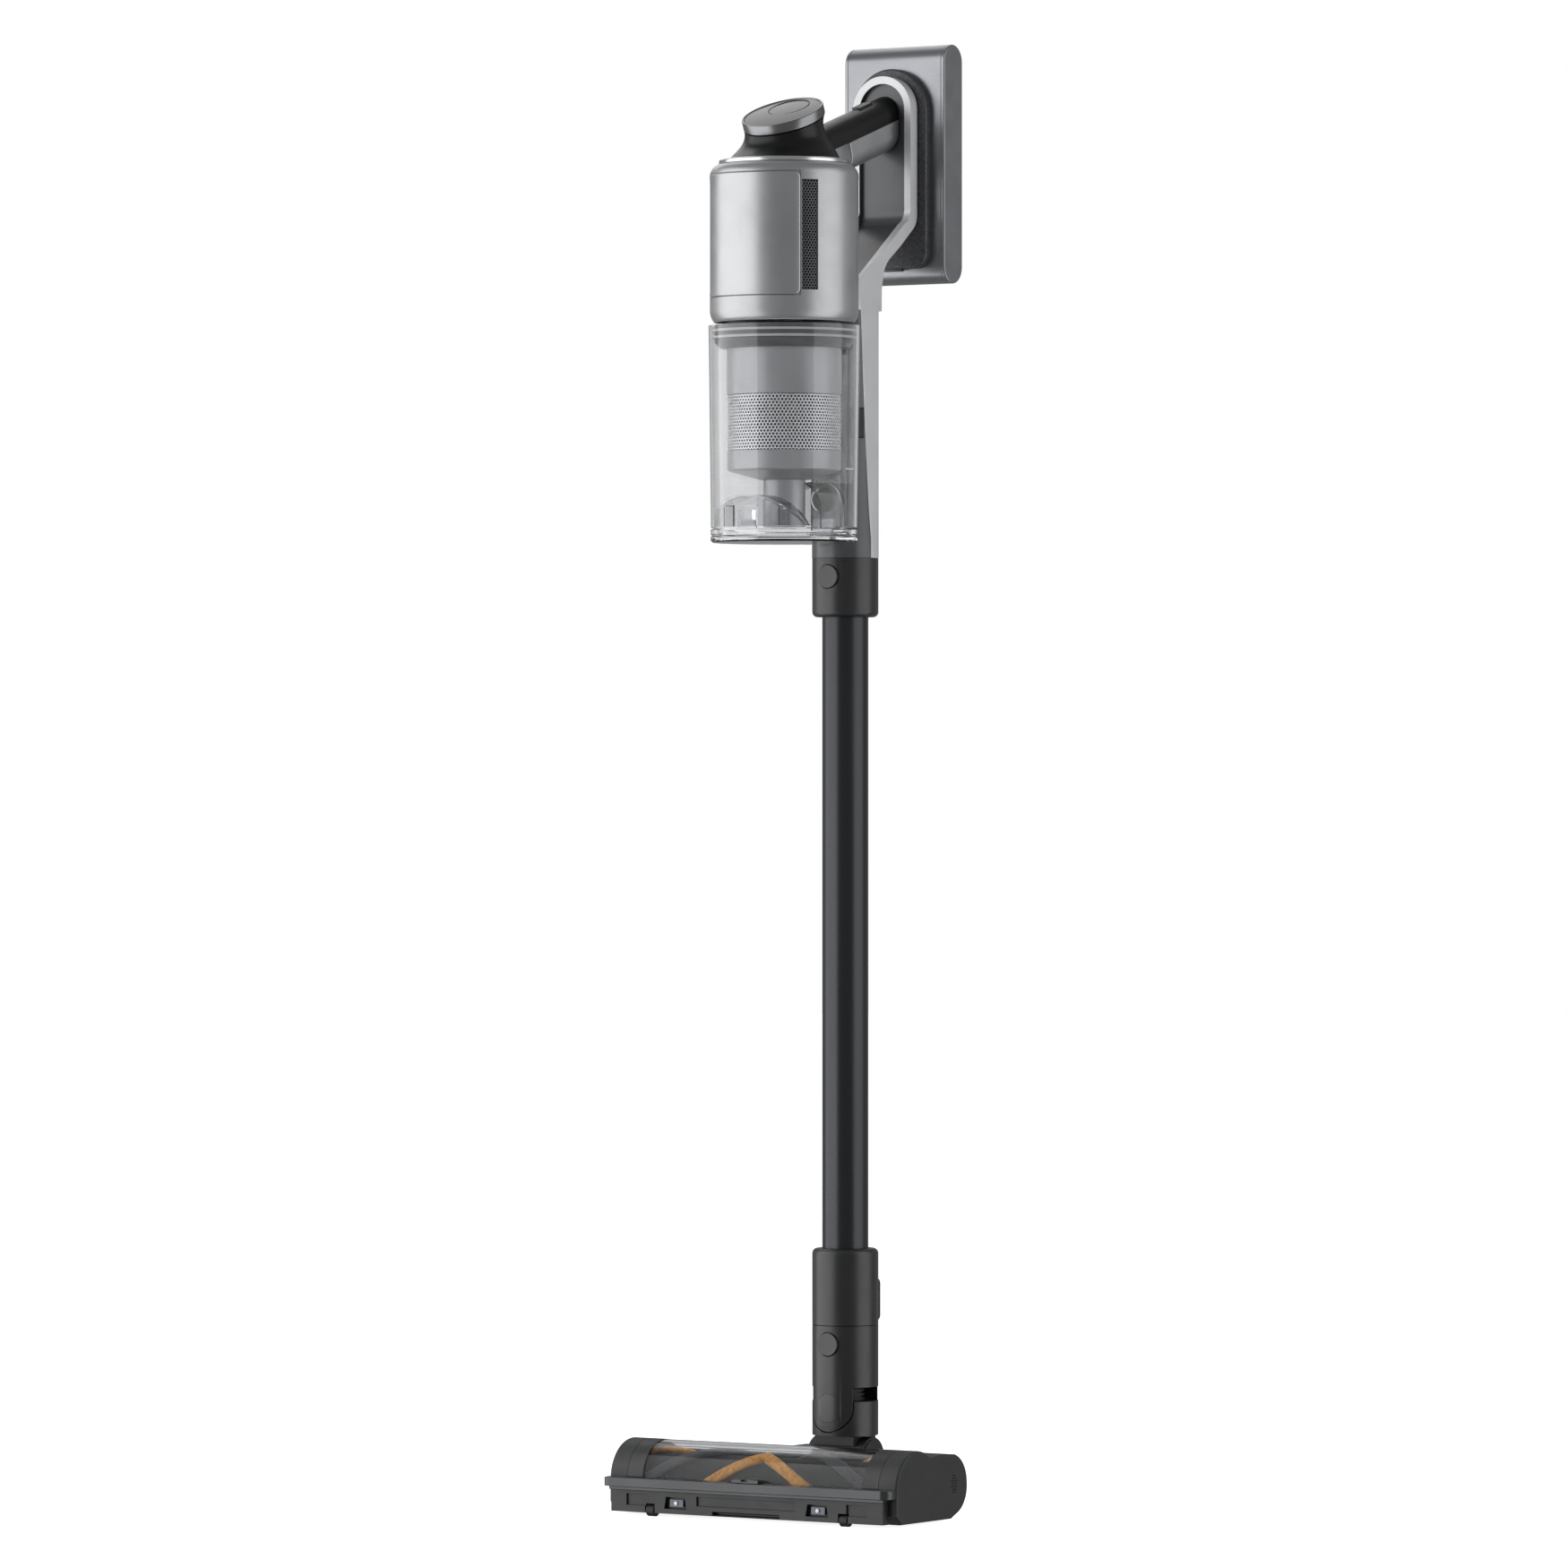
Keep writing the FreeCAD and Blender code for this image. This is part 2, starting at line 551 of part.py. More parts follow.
def build_main_unit():
    """Everything that the hand holds."""
    add("motor_housing", motor_housing())
    add("front_cover", front_cover())
    add("vent_grilles", *pair(vent_grille()))
    top_ring = turned([(TOP_RING_R - 0.4, HOUSING_TOP_Z), (SHOULDER_R - 1.2, HOUSING_TOP_Z),
                       (SHOULDER_R - 1.6, HOUSING_TOP_Z + 1.6), (TOP_RING_R + 1.0, RING_TOP_Z),
                       (TOP_RING_R - 0.4, RING_TOP_Z)], BIN_Y)
    neck = display_neck()
    add("display_neck", neck)
    rim = display_frame(cyl(DISC_R, -RIM_H, 0).cut(cyl(DISC_R - 1.8, -1.8, 1)))
    add("trim_rings", top_ring, rim.cut(neck))
    glass = cyl(DISC_R - 1.85, -1.8, -0.4).cut(cyl(SCREEN_R + 0.2, -0.9, 1, 0, SCREEN_OFFSET))
    screen = cyl(SCREEN_R, -0.9, -0.35, 0, SCREEN_OFFSET)
    add("display_glass", display_frame(glass), display_frame(screen))
    add("handle_frame", handle_frame())
    add("grip_cover", grip_cover())
    add("grip_shell", grip_shell())
    add("power_button", power_button_at(0, 0))
    inlet_filter = ring(HOUSING_R - 8, 12, HOUSING_Z + 2, BULKHEAD_Z, 0, BIN_Y)
    exhaust_filter = ring(HOUSING_R - 5, HOUSING_R - 11, BULKHEAD_Z + 2.5, HOUSING_TOP_Z - 16, 0, BIN_Y)
    add("air_filters", inlet_filter, exhaust_filter)
    add("motor_bulkhead", motor_bulkhead())
    add("motor_stator", ring(MOTOR_R, 17, MOTOR_Z, MOTOR_Z + 34, 0, BIN_Y))
    add("motor_rotor", motor_rotor())
    add("duct_gasket", duct_gasket())
    add("bin_release_button", release_block(0, 23.6))


def motor_bulkhead():
    """Bulkhead over the inlet filter, with the can that holds the motor."""
    plate_top = BULKHEAD_Z + 2.5
    can_r = MOTOR_R + 9
    plate = ring(HOUSING_R - HOUSING_WALL, 16, BULKHEAD_Z, plate_top, 0, BIN_Y)
    low_mount = ring(can_r, MOTOR_R, plate_top, MOTOR_Z + 5, 0, BIN_Y)
    high_mount = ring(can_r, MOTOR_R, MOTOR_Z + 29, MOTOR_Z + 34, 0, BIN_Y)
    can = ring(can_r, can_r - 2, BULKHEAD_Z + 2, MOTOR_Z + 46, 0, BIN_Y)
    return plate.fuse(low_mount).fuse(high_mount).fuse(can)


def motor_rotor():
    """Shaft, magnet and bladed impeller, turning inside the stator."""
    shaft = cyl(3.0, MOTOR_Z - 9, MOTOR_Z + 40, 0, BIN_Y)
    magnet = cyl(16.2, MOTOR_Z + 4, MOTOR_Z + 30, 0, BIN_Y)
    wheel = cyl(MOTOR_R - 3, MOTOR_Z + 37, MOTOR_Z + 39, 0, BIN_Y)
    rotor = shaft.fuse(magnet).fuse(wheel)
    for index in range(9):
        blade = box(5, MOTOR_R - 4, BIN_Y - 0.6, BIN_Y + 0.6, MOTOR_Z + 38.5, MOTOR_Z + 46)
        blade.rotate(V(0, BIN_Y, 0), V(0, 0, 1), 40 * index)
        rotor = rotor.fuse(blade)
    return rotor.fuse(cyl(6, MOTOR_Z + 38, MOTOR_Z + 46, 0, BIN_Y)).removeSplitter()


# ---------------------------------------------------------------- battery
def stadium(inset, x0, x1):
    """Side-view stadium of the battery, inset all round and drawn out along X."""
    r = PACK_DEPTH / 2 - inset
    mid_y = PACK_Y0 + PACK_DEPTH / 2
    low = PACK_Z0 + PACK_DEPTH / 2
    high = PACK_Z0 + PACK_H - PACK_DEPTH / 2
    outline = [(mid_y - r, low), (mid_y - r, high), ((mid_y, high + r), (mid_y + r, high)),
               (mid_y + r, low), ((mid_y, low - r), (mid_y - r, low))]
    return side_plate(outline, x0, x1)


BOSS_Y0 = SPINE_BACK_Y + 1.0
BOSS_TOP_Z = ARCH_Z + BOSS_HALF - 0.6
PACK_BUTTON = (10.0, 5.0, 3.0)     # half width, height and thickness of the battery's release


def pack_button(grow):
    """Release button under the battery's boss."""
    half, height, thick = PACK_BUTTON
    y0 = BOSS_Y0 + 2.2
    return box(-half - grow, half + grow, y0 - grow, y0 + thick + grow, BOSS_Z0 - 2.0 - 2 * grow,
               BOSS_Z0 + height + 5 * grow)


def battery_boss():
    """Arched boss that plugs into the back of the spine."""
    low_r = 12.0
    half = BOSS_HALF
    springing = BOSS_TOP_Z - half
    bend = low_r * (1 - math.sqrt(0.5))
    outline = [(-half, BOSS_Z0 + low_r), (-half, springing), ((0, BOSS_TOP_Z), (half, springing)),
               (half, BOSS_Z0 + low_r), ((half - bend, BOSS_Z0 + bend), (half - low_r, BOSS_Z0)),
               (-half + low_r, BOSS_Z0), ((-half + bend, BOSS_Z0 + bend), (-half, BOSS_Z0 + low_r))]
    boss = front_plate(outline, BOSS_Y0, PACK_Y0)
    return rounded(boss, 2.0, flat_edge(1, BOSS_Y0)).cut(pack_button(FIT_GAP))


def build_battery():
    """Battery pack that pulls off the back of the spine."""
    side = PACK_HALF - PACK_CAP_T
    case = stadium(0, -side, side).cut(stadium(PACK_WALL, -side - 1, side + 1))
    add("battery_case", case)
    cap = rounded(stadium(0, side, PACK_HALF), 1.2, flat_edge(0, PACK_HALF))
    add("battery_end_caps", *pair(cap))
    add("battery_boss", battery_boss())
    pitch = (PACK_H - PACK_DEPTH + 4.0) / CELL_COUNT
    first = PACK_Z0 + PACK_DEPTH / 2 + pitch / 2 - 2.0
    cell_y = PACK_BACK_Y - PACK_WALL - CELL_R - 0.3
    half_cell = CELL_LEN / 2
    cells = []
    for index in range(CELL_COUNT):
        cells.append(cyl_x(CELL_R, -half_cell, half_cell, cell_y, first + pitch * index))
    board_y = PACK_Y0 + PACK_WALL
    board = box(-half_cell, half_cell, board_y, board_y + 1.4, PACK_Z0 + 20, PACK_Z0 + PACK_H - 20)
    add("battery_cells", board, *cells)
    add("battery_release_button", pack_button(0))


# ---------------------------------------------------------------- dust bin
HINGE_Y = BIN_Y + BIN_LOW_R + 1.0
HINGE_Z = LID_Z + 2.6


def cup_solid(inset):
    """The cup's tapered outside, or its inside with an inset."""
    return Part.makeCone(BIN_LOW_R - inset, BIN_TOP_R - inset, BIN_LEN, V(0, BIN_Y, CUP_Z))


def latch_window(grow):
    """Face of the latch in the front of the cup."""
    return box(-10.0 - grow, 10.0 + grow, BIN_Y - BIN_TOP_R - 5, BIN_Y - BIN_LOW_R + 4.5,
               CUP_Z - 5 * grow, CUP_Z + 15.0 + grow)


def bin_cup():
    """Clear cup with its rim, latch window and inlet hole."""
    cup = cup_solid(0).cut(cup_solid(BIN_WALL))
    cup = cup.cut(latch_window(FIT_GAP))
    return cup.cut(cyl_y(PORT_R, BIN_Y + 20, BIN_Y + 80, 0, PORT_Z))


def latch_outline(inset):
    """Shallow arch of the latch pocket, seen from the front."""
    half = LATCH_HALF - inset
    peak = CUP_Z + LATCH_PEAK - inset
    rise = 0.62 * half
    return [(-half, CUP_Z + 0.4), ((-rise, CUP_Z + 0.70 * LATCH_PEAK - inset), (0, peak)),
            ((rise, CUP_Z + 0.70 * LATCH_PEAK - inset), (half, CUP_Z + 0.4))]


def latch_pocket():
    """Clear arched pocket in the front of the cup, over the latch."""
    back_y = BIN_Y - LATCH_CHORD
    outer = front_plate(latch_outline(0), back_y - 60, back_y)
    inner = front_plate(latch_outline(1.6), back_y - 61, back_y - 1.6)
    inner = inner.fuse(box(-LATCH_HALF + 4, LATCH_HALF - 4, back_y - 61, back_y - 1.6, CUP_Z, CUP_Z + 1.6))
    shell = outer.common(cup_solid(BIN_WALL + 0.02)).cut(inner)
    for x in (-24, 24):
        rib = box(x - 0.6, x + 0.6, back_y - 14, back_y - 1.4, CUP_Z + 0.5, CUP_Z + LATCH_PEAK)
        shell = shell.fuse(rib.common(front_plate(latch_outline(0.5), back_y - 60, back_y)))
    return shell.common(cup_solid(BIN_WALL + 0.02)).removeSplitter()


def bin_inlet_duct():
    """Clear domed duct that turns the incoming air round the cup."""
    front_y = BIN_Y + BIN_LOW_R - BIN_WALL - INLET_DEPTH
    outer = arch(INLET_HALF, CUP_Z + 0.4, CUP_Z + INLET_PEAK, front_y, BIN_Y + 70)
    inner = arch(INLET_HALF - 1.6, CUP_Z - 1, CUP_Z + INLET_PEAK - 1.6, front_y + 1.6, BIN_Y + 80)
    duct = outer.cut(inner).common(cup_solid(BIN_WALL + 0.02))
    mouth = box(-INLET_HALF - 2, -INLET_HALF + 6, front_y + 3, front_y + 18,
                CUP_Z + 4, CUP_Z + INLET_PEAK - 16)
    return duct.cut(mouth)


FLANGE_Z = CUP_TOP_Z - 17.0
BODY_Z = FLANGE_Z - 35.0
MESH_Z = BODY_Z - 42.0
BASE_Z = MESH_Z - 15.0


def mesh_sleeve():
    """Steel sleeve with rows of openings."""
    sleeve = ring(MESH_R, MESH_R - 1.0, MESH_Z, BODY_Z, 0, BIN_Y)
    slots = []
    for row in range(6):
        for column in range(12):
            slot = box(MESH_R - 4, MESH_R + 3, BIN_Y - 3.5, BIN_Y + 3.5, MESH_Z + 2.5 + 6.6 * row,
                       MESH_Z + 6.5 + 6.6 * row)
            slot.rotate(V(0, BIN_Y, 0), V(0, 0, 1), 30 * column + 15 * (row % 2))
            slots.append(slot)
    return sleeve.cut(Part.makeCompound(slots))


def cyclone_base():
    """Lower ring with its cone underside, and the tail tube that stands under it."""
    foot_z = BASE_Z - 6.5
    bore_r = TAIL_R - 1.8
    outline = [(CYCLONE_R - 1.4, BASE_Z), (CYCLONE_R - 0.4, BASE_Z + 1), (CYCLONE_R - 0.4, MESH_Z),
               (CYCLONE_R - 3.4, MESH_Z), (CYCLONE_R - 3.4, BASE_Z + 3), (TAIL_R + 6, BASE_Z - 3),
               (bore_r, BASE_Z - 4), (bore_r, foot_z), (TAIL_R + 3, foot_z)]
    return turned(outline, BIN_Y), ring(TAIL_R, bore_r, CUP_Z + 0.6, foot_z, 0, BIN_Y)


def inner_cones():
    """Ring of small cyclone cones on one plate."""
    plate_z = BODY_Z + 24.0
    plate = ring(CYCLONE_R - 2.1, 6, plate_z, plate_z + 2.5, 0, BIN_Y)
    for index in range(8):
        angle = math.radians(45 * index)
        x, y = 28.0 * math.cos(angle), BIN_Y + 28.0 * math.sin(angle)
        cone = Part.makeCone(4.0, 9.5, 46.0, V(x, y, plate_z - 46.0))
        bore = Part.makeCone(2.8, 8.3, 50.0, V(x, y, plate_z - 46.1))
        plate = plate.fuse(cone).cut(bore)
    return plate


def bin_lid():
    """Lid with a two-line rim, a catch at the front and hinge knuckles at the back."""
    r = BIN_LOW_R
    top_z = LID_Z + LID_T
    lid = turned([(0, LID_Z), (r - 1.5, LID_Z), (r + 0.2, LID_Z + 1.5), (r + 0.2, LID_Z + 4.2),
                  (r - 0.6, LID_Z + 4.8), (r - 0.6, LID_Z + 5.6), (r + 0.2, LID_Z + 6.2),
                  (r + 0.2, top_z - 0.6), (r - 0.6, top_z), (r - 4.4, top_z), (r - 4.4, LID_Z + 3),
                  (0, LID_Z + 3)], BIN_Y)
    tab = box(-8, 8, BIN_Y - r + TAB_IN, BIN_Y - r + TAB_IN + TAB_T, LID_Z + 2, CUP_Z + 4.0)
    lid = lid.fuse(tab)
    knuckle_gap = box(-9.6, 9.6, HINGE_Y - HINGE_BARREL_R - 0.5, HINGE_Y + 5, LID_Z - 1, CUP_Z + 1)
    lid = lid.cut(knuckle_gap)
    for x0 in (-16.0, 10.0):
        knuckle = cyl_x(HINGE_BARREL_R, x0, x0 + 6, HINGE_Y, HINGE_Z)
        arm = box(x0, x0 + 6, HINGE_Y - 8, HINGE_Y, HINGE_Z - HINGE_BARREL_R, HINGE_Z + 1.0)
        lid = lid.fuse(knuckle).fuse(arm)
    return lid.cut(cyl_x(HINGE_PIN_R + RUN, -20, 20, HINGE_Y, HINGE_Z)).removeSplitter()


def hinge_pin():
    """Pin of the lid's hinge with the block that ties it to the cup."""
    pin = cyl_x(HINGE_PIN_R, -16, 16, HINGE_Y, HINGE_Z)
    block = box(-9.0, 9.0, HINGE_Y - HINGE_BARREL_R, HINGE_Y + 1.8, HINGE_Z - 1.4, CUP_Z)
    top = box(-9.0, 9.0, BIN_Y + BIN_LOW_R - BIN_WALL + 0.4, HINGE_Y + 1.8, CUP_Z - 1.0, CUP_Z + 8)
    block = block.fuse(top.cut(cup_solid(0)))
    return block.fuse(pin).removeSplitter()


def bin_latch():
    """Latch behind the window, with a hook under the lid's tab."""
    face = latch_window(0).common(cup_solid(0.3)).cut(cup_solid(1.8))
    hook_y = BIN_Y - BIN_LOW_R + TAB_IN + TAB_T + 0.4
    stem = box(-6, 6, BIN_Y - BIN_LOW_R + 1.5, hook_y + 2.0, CUP_Z + 5.0, CUP_Z + 12.0)
    hook = box(-6, 6, hook_y, hook_y + 2.0, CUP_Z + 1.0, CUP_Z + 12.0)
    return face.fuse(stem).fuse(hook).removeSplitter()


def build_bin():
    """Clear dust bin with the cyclone that hangs in it."""
    add("bin_cup", bin_cup())
    add("bin_fittings", latch_pocket(), bin_inlet_duct())
    flange = turned([(CYCLONE_R - 2, FLANGE_Z), (FLANGE_R - 5, FLANGE_Z), (FLANGE_R - 0.6, FLANGE_Z + 4.5),
                     (FLANGE_R - 0.6, CUP_TOP_Z), (CYCLONE_R - 2, CUP_TOP_Z)], BIN_Y)
    groove_r = FLANGE_R - 2.0
    seals = []
    for z in (FLANGE_Z + 7.0, FLANGE_Z + 12.0):
        flange = flange.cut(ring(FLANGE_R + 5, groove_r, z, z + SEAL_H, 0, BIN_Y))
        seals.append(ring(FLANGE_R + 1.0, groove_r, z, z + SEAL_H, 0, BIN_Y))
    add("cyclone_flange", flange)
    add("flange_seals", *[seal.common(cup_solid(BIN_WALL + 0.02)) for seal in seals])
    add("cyclone_body", ring(CYCLONE_R, CYCLONE_R - 2.0, BODY_Z, FLANGE_Z, 0, BIN_Y))
    add("cyclone_mesh", mesh_sleeve())
    add("cyclone_base", *cyclone_base())
    add("cyclone_cones", inner_cones())
    add("lid_hinge_pin", hinge_pin())
    add("bin_lid", bin_lid())
    add("bin_latch", bin_latch())


# ---------------------------------------------------------------- wand
def spigot(z0, z1):
    """Thin tube that plugs into the bore of the piece above it."""
    return ring(SPIGOT_R, SPIGOT_R - SPIGOT_WALL, z0, z1)


def top_collar():
    """Collar glued on the tube's upper end, with the spigot that enters the main unit."""
    body = rounded(cyl(COLLAR_R, TUBE_TOP_Z, DUCT_Z - 0.2), COLLAR_EDGE, flat_edge(2, TUBE_TOP_Z))
    body = body.cut(cyl(SPIGOT_R - SPIGOT_WALL, TUBE_TOP_Z - 1, DUCT_Z + 1))
    body = body.cut(cyl(TUBE_R, TUBE_TOP_Z - 1, TUBE_TOP_Z + TUBE_GLUE_LEN))
    body = body.fuse(spigot(DUCT_Z - 6, DUCT_Z + SPIGOT_LEN))
    return body.cut(button_pocket(WAND_BUTTON_Z, -COLLAR_R)).removeSplitter()


def low_collar():
    """Collar glued on the tube's lower end, with the bore that takes the head's spigot."""
    body = rounded(cyl(COLLAR_R, LOW_COLLAR_Z + 0.2, TUBE_LOW_Z), COLLAR_EDGE, flat_edge(2, TUBE_LOW_Z))
    body = body.cut(cyl(TUBE_R - TUBE_WALL, LOW_COLLAR_Z - 1, TUBE_LOW_Z + 1))
    body = body.cut(cyl(TUBE_R, TUBE_LOW_Z - TUBE_GLUE_LEN, TUBE_LOW_Z + 1))
    return body.cut(cyl(SPIGOT_R + SEAT + RUN, LOW_COLLAR_Z - 1, LOW_COLLAR_Z + SPIGOT_LEN + 1))


def contact_pad():
    """Rounded contact cover on the back of the lower collar."""
    z0 = LOW_COLLAR_Z + 1.2
    pad = box(-PAD_WIDTH / 2, PAD_WIDTH / 2, 10, PAD_BACK, z0, z0 + PAD_LEN)
    pad = rounded(pad, 5.0, flat_edge_back_corner)
    pad = rounded(pad, 1.6, flat_edge(1, PAD_BACK))
    return pad.cut(cyl(COLLAR_R, z0 - 5, z0 + PAD_LEN + 5))


def flat_edge_back_corner(edge):
    """True for edges that run along Y."""
    size = edge.BoundBox
    return size.YMax - size.YMin > 1 and size.XMax - size.XMin < 1e-4 and size.ZMax - size.ZMin < 1e-4


def build_wand():
    """Wand with its two collars."""
    tube_wall = ring(TUBE_R, TUBE_R - TUBE_WALL, TUBE_LOW_Z - TUBE_GLUE_LEN, TUBE_TOP_Z + TUBE_GLUE_LEN)
    add("wand_tube", tube_wall)
    add("wand_top_collar", top_collar())
    add("wand_lower_collar", low_collar())
    add("wand_contact_cover", contact_pad())
    add("wand_button", round_button(WAND_BUTTON_Z, -COLLAR_R - BUTTON_PROUD))


# ---------------------------------------------------------------- head socket and neck
def ear_outline(grow):
    """Front view of the socket's ear: straight sides ending in a half circle round the pivot."""
    half = EAR_HALF + grow
    return [(-half, STEER_Z), (-half, NECK_TOP_Z + 20), (half, NECK_TOP_Z + 20), (half, STEER_Z),
            ((0, STEER_Z - half), (-half, STEER_Z))]


def head_socket():
    """Socket under the wand with two ears that carry the steering pivot."""
    ears = cyl(COLLAR_R, STEER_Z - EAR_HALF - 1, NECK_TOP_Z)
    ears = ears.cut(box(-40, 40, -EAR_FLAT, EAR_FLAT, 0, NECK_TOP_Z))
    ears = ears.common(front_plate(ear_outline(0), -40, 40))
    body = ring(COLLAR_R, COLLAR_R - SOCKET_WALL, NECK_TOP_Z, NECK_TOP_Z + 12)
    body = body.fuse(ears)
    body = body.fuse(ring(COLLAR_R, SPIGOT_R - SPIGOT_WALL, NECK_TOP_Z + 12, LOW_COLLAR_Z))
    body = body.fuse(spigot(LOW_COLLAR_Z - 6, LOW_COLLAR_Z + SPIGOT_LEN))
    body = body.cut(cyl_y(STEER_PIN_R + RUN, -40, 40, 0, STEER_Z))
    body = body.cut(cyl_y(PIVOT_CAP_R + 0.1, -40, -COLLAR_R + PIVOT_CAP_DEPTH + 1.0, 0, STEER_Z))
    body = body.cut(cyl_y(PIVOT_CAP_R + 0.1, COLLAR_R - PIVOT_CAP_DEPTH - 1.0, 40, 0, STEER_Z))
    return body.cut(button_pocket(HEAD_BUTTON_Z, -COLLAR_R)).removeSplitter()


def steering_pin():
    """Front steering pin with its flush round head."""
    head = cyl_y(PIVOT_CAP_R, -40, -COLLAR_R + PIVOT_CAP_DEPTH + 0.8, 0, STEER_Z)
    head = head.common(cyl(COLLAR_R, 0, LOW_COLLAR_Z))
    shank_end = -EAR_FLAT + 0.4 + STEER_PIN_HOLD
    return head.fuse(cyl_y(STEER_PIN_R, -COLLAR_R + PIVOT_CAP_DEPTH, shank_end, 0, STEER_Z))


NECK_LOW_Z = PITCH_Z + CHEEK_R + NECK_FLOOR_GAP
NECK_SIDE_Z = NECK_TOP_Z - SIDE_GAP
NECK_BORE_R = HOSE_R - 1.0
TONGUE_T = 3.0


def neck():
    """Neck: outer body round the ears, two tongues behind the ears and the lower barrel."""
    flat = EAR_FLAT - 0.4
    outer = ring(COLLAR_R, NECK_BORE_R, NECK_LOW_Z, NECK_SIDE_Z)
    relief = front_plate(ear_outline(EAR_GAP), -60, 60).cut(box(-60, 60, -flat, flat, 0, 200))
    body = outer.cut(relief)
    tongue_half = STEER_PIN_R + 4.0
    for y0 in (-flat, flat - TONGUE_T):
        body = body.fuse(arch(tongue_half, NECK_LOW_Z + 2, STEER_Z + tongue_half, y0, y0 + TONGUE_T))
    barrel = cyl_x(BARREL_R, -CHEEK_IN + AIR, CHEEK_IN - AIR, 0, PITCH_Z)
    stem = box(-CHEEK_IN + AIR, CHEEK_IN - AIR, -BARREL_R, BARREL_R, PITCH_Z, NECK_LOW_Z + 2)
    lower = barrel.fuse(stem).cut(cyl(NECK_BORE_R, PITCH_Z, NECK_LOW_Z + 3))
    lower = lower.cut(cyl_y(FOOT_AIR_R, -BARREL_R - 1, 0, 0, PITCH_Z))
    body = body.fuse(lower).cut(cyl_y(STEER_PIN_R, -COLLAR_R, COLLAR_R, 0, STEER_Z))
    return body.cut(cyl_x(PITCH_PIN_R + RUN, -40, 40, 0, PITCH_Z)).removeSplitter()


def neck_hose():
    """Ribbed hose stub in the open gap of the steering joint."""
    z0 = NECK_SIDE_Z
    z1 = NECK_TOP_Z - 1.0
    hose = ring(HOSE_R, HOSE_R - 2.0, z0, z1)
    pitch = (z1 - z0) / HOSE_RIBS
    for index in range(HOSE_RIBS):
        rib_z = z0 + pitch * (index + 0.25)
        hose = hose.fuse(ring(HOSE_R + HOSE_RIB, HOSE_R - 1.0, rib_z, rib_z + pitch * 0.45))
    room = EAR_FLAT - 0.4 - TONGUE_T - AIR
    return hose.common(box(-40, 40, -room, room, z0, z1)).removeSplitter()


def build_neck():
    """Head socket, steering joint and neck."""
    add("head_socket", head_socket())
    add("steering_pins", steering_pin(), steering_pin().mirror(V(0, 0, 0), V(0, 1, 0)))
    add("head_button", round_button(HEAD_BUTTON_Z, -COLLAR_R - BUTTON_PROUD))
    add("neck", neck())
    add("neck_hose", neck_hose())


# ---------------------------------------------------------------- floor head
HEAD_SIDE = HEAD_HALF - CAP_T              # inside faces of the end caps
COVER_BACK_Y = ROLLER_Y + 17.0             # back edge of the cover
NOSE_BACK = 18.47                          # the round nose runs on behind the cover's edge
HINGE_BACK = 17.8                          # hinge behind the roller axis, in the cover's back edge
HINGE_DEPTH = 0.68                         # hinge axis inwards from the cover's outside
COVER_HINGE = (ROLLER_Y + HINGE_BACK, ROLLER_Z + math.sqrt((COVER_R - HINGE_DEPTH) ** 2 - HINGE_BACK ** 2))
COVER_GAP = 1.9                            # room behind the cover for its back edge as it swings
CHAMBER_R = ROLLER_R + 2.0
SIDE_WALL_X = HEAD_SIDE - BEARING_LEN
ROLLER_HALF = SIDE_WALL_X - 1.5
PULLEY_X = -HEAD_SIDE - 1.2 - PULLEY_W


def on_circle(radius, degrees):
    """Side-view point (y, z) on a circle about the roller axis; 0 degrees points to the back."""
    angle = math.radians(degrees)
    return (ROLLER_Y + radius * math.cos(angle), ROLLER_Z + radius * math.sin(angle))


def head_outline():
    """Side view of the floor head: round nose over the roller, then the motor housing."""
    back = HEAD_BACK_Y
    nose_end = math.degrees(math.acos(NOSE_BACK / COVER_R))
    return [on_circle(COVER_R, 180), (on_circle(COVER_R, 115), on_circle(COVER_R, nose_end)),
            (ROLLER_Y + 36.0, ROLLER_Z + 25.4), (back - 16.0, ROLLER_Z + 24.2),
            ((back - 4.6, ROLLER_Z + 16.4), (back, ROLLER_Z + 3.0)),
            ((back - 4.0, SOLE_Z + 11.0), (back - 15.0, SOLE_Z + 3.0)), (back - 22.0, SOLE_Z),
            (ROLLER_Y - 22.0, SOLE_Z), (ROLLER_Y - COVER_R, SOLE_Z + 7.0)]


def inset_plate(inset, x0, x1):
    """Head outline, inset all round and drawn out along X."""
    face = side_face(head_outline(), x0).makeOffset2D(-inset)
    return Part.Face(face.Wires[0]).extrude(V(x1 - x0, 0, 0))


def vent_holes(cap):
    """The end cap with its group of small round holes."""
    pitch, hole_r = 2.4, 0.65
    middle_y, middle_z = HEAD_BACK_Y - 19.6, ROLLER_Z + 2.4
    for row, count in enumerate((2, 3, 4, 3, 4, 3, 2)):
        for column in range(count):
            y = middle_y + pitch * (column - (count - 1) / 2)
            z = middle_z + pitch * 0.87 * (row - 3)
            cap = cap.cut(cyl_x(hole_r, HEAD_HALF - 7, HEAD_HALF + 7, y, z))
    return cap


def end_cap():
    """Right end cap, hollow on its inner side."""
    cap = side_plate(head_outline(), HEAD_SIDE, HEAD_HALF)
    cap = rounded(cap, 2.2, flat_edge(0, HEAD_HALF))
    cap = cap.cut(inset_plate(WALL + 0.4, HEAD_SIDE - 1, HEAD_HALF - 2.4))
    return vent_holes(cap)


def wheel_pocket(x, y, z, radius, length):
    """Room round a small wheel."""
    half, reach = length / 2 + 0.8, radius + 0.8
    return box(x - half, x + half, y - reach, y + reach, -1, z + reach)


def wheel(x, y, radius, length):
    """Wheel with a pin standing out of both faces."""
    body = cyl_x(radius, x - length / 2, x + length / 2, y, radius)
    return body.fuse(cyl_x(WHEEL_PIN_R, x - length / 2 - 2.4, x + length / 2 + 2.4, y, radius))


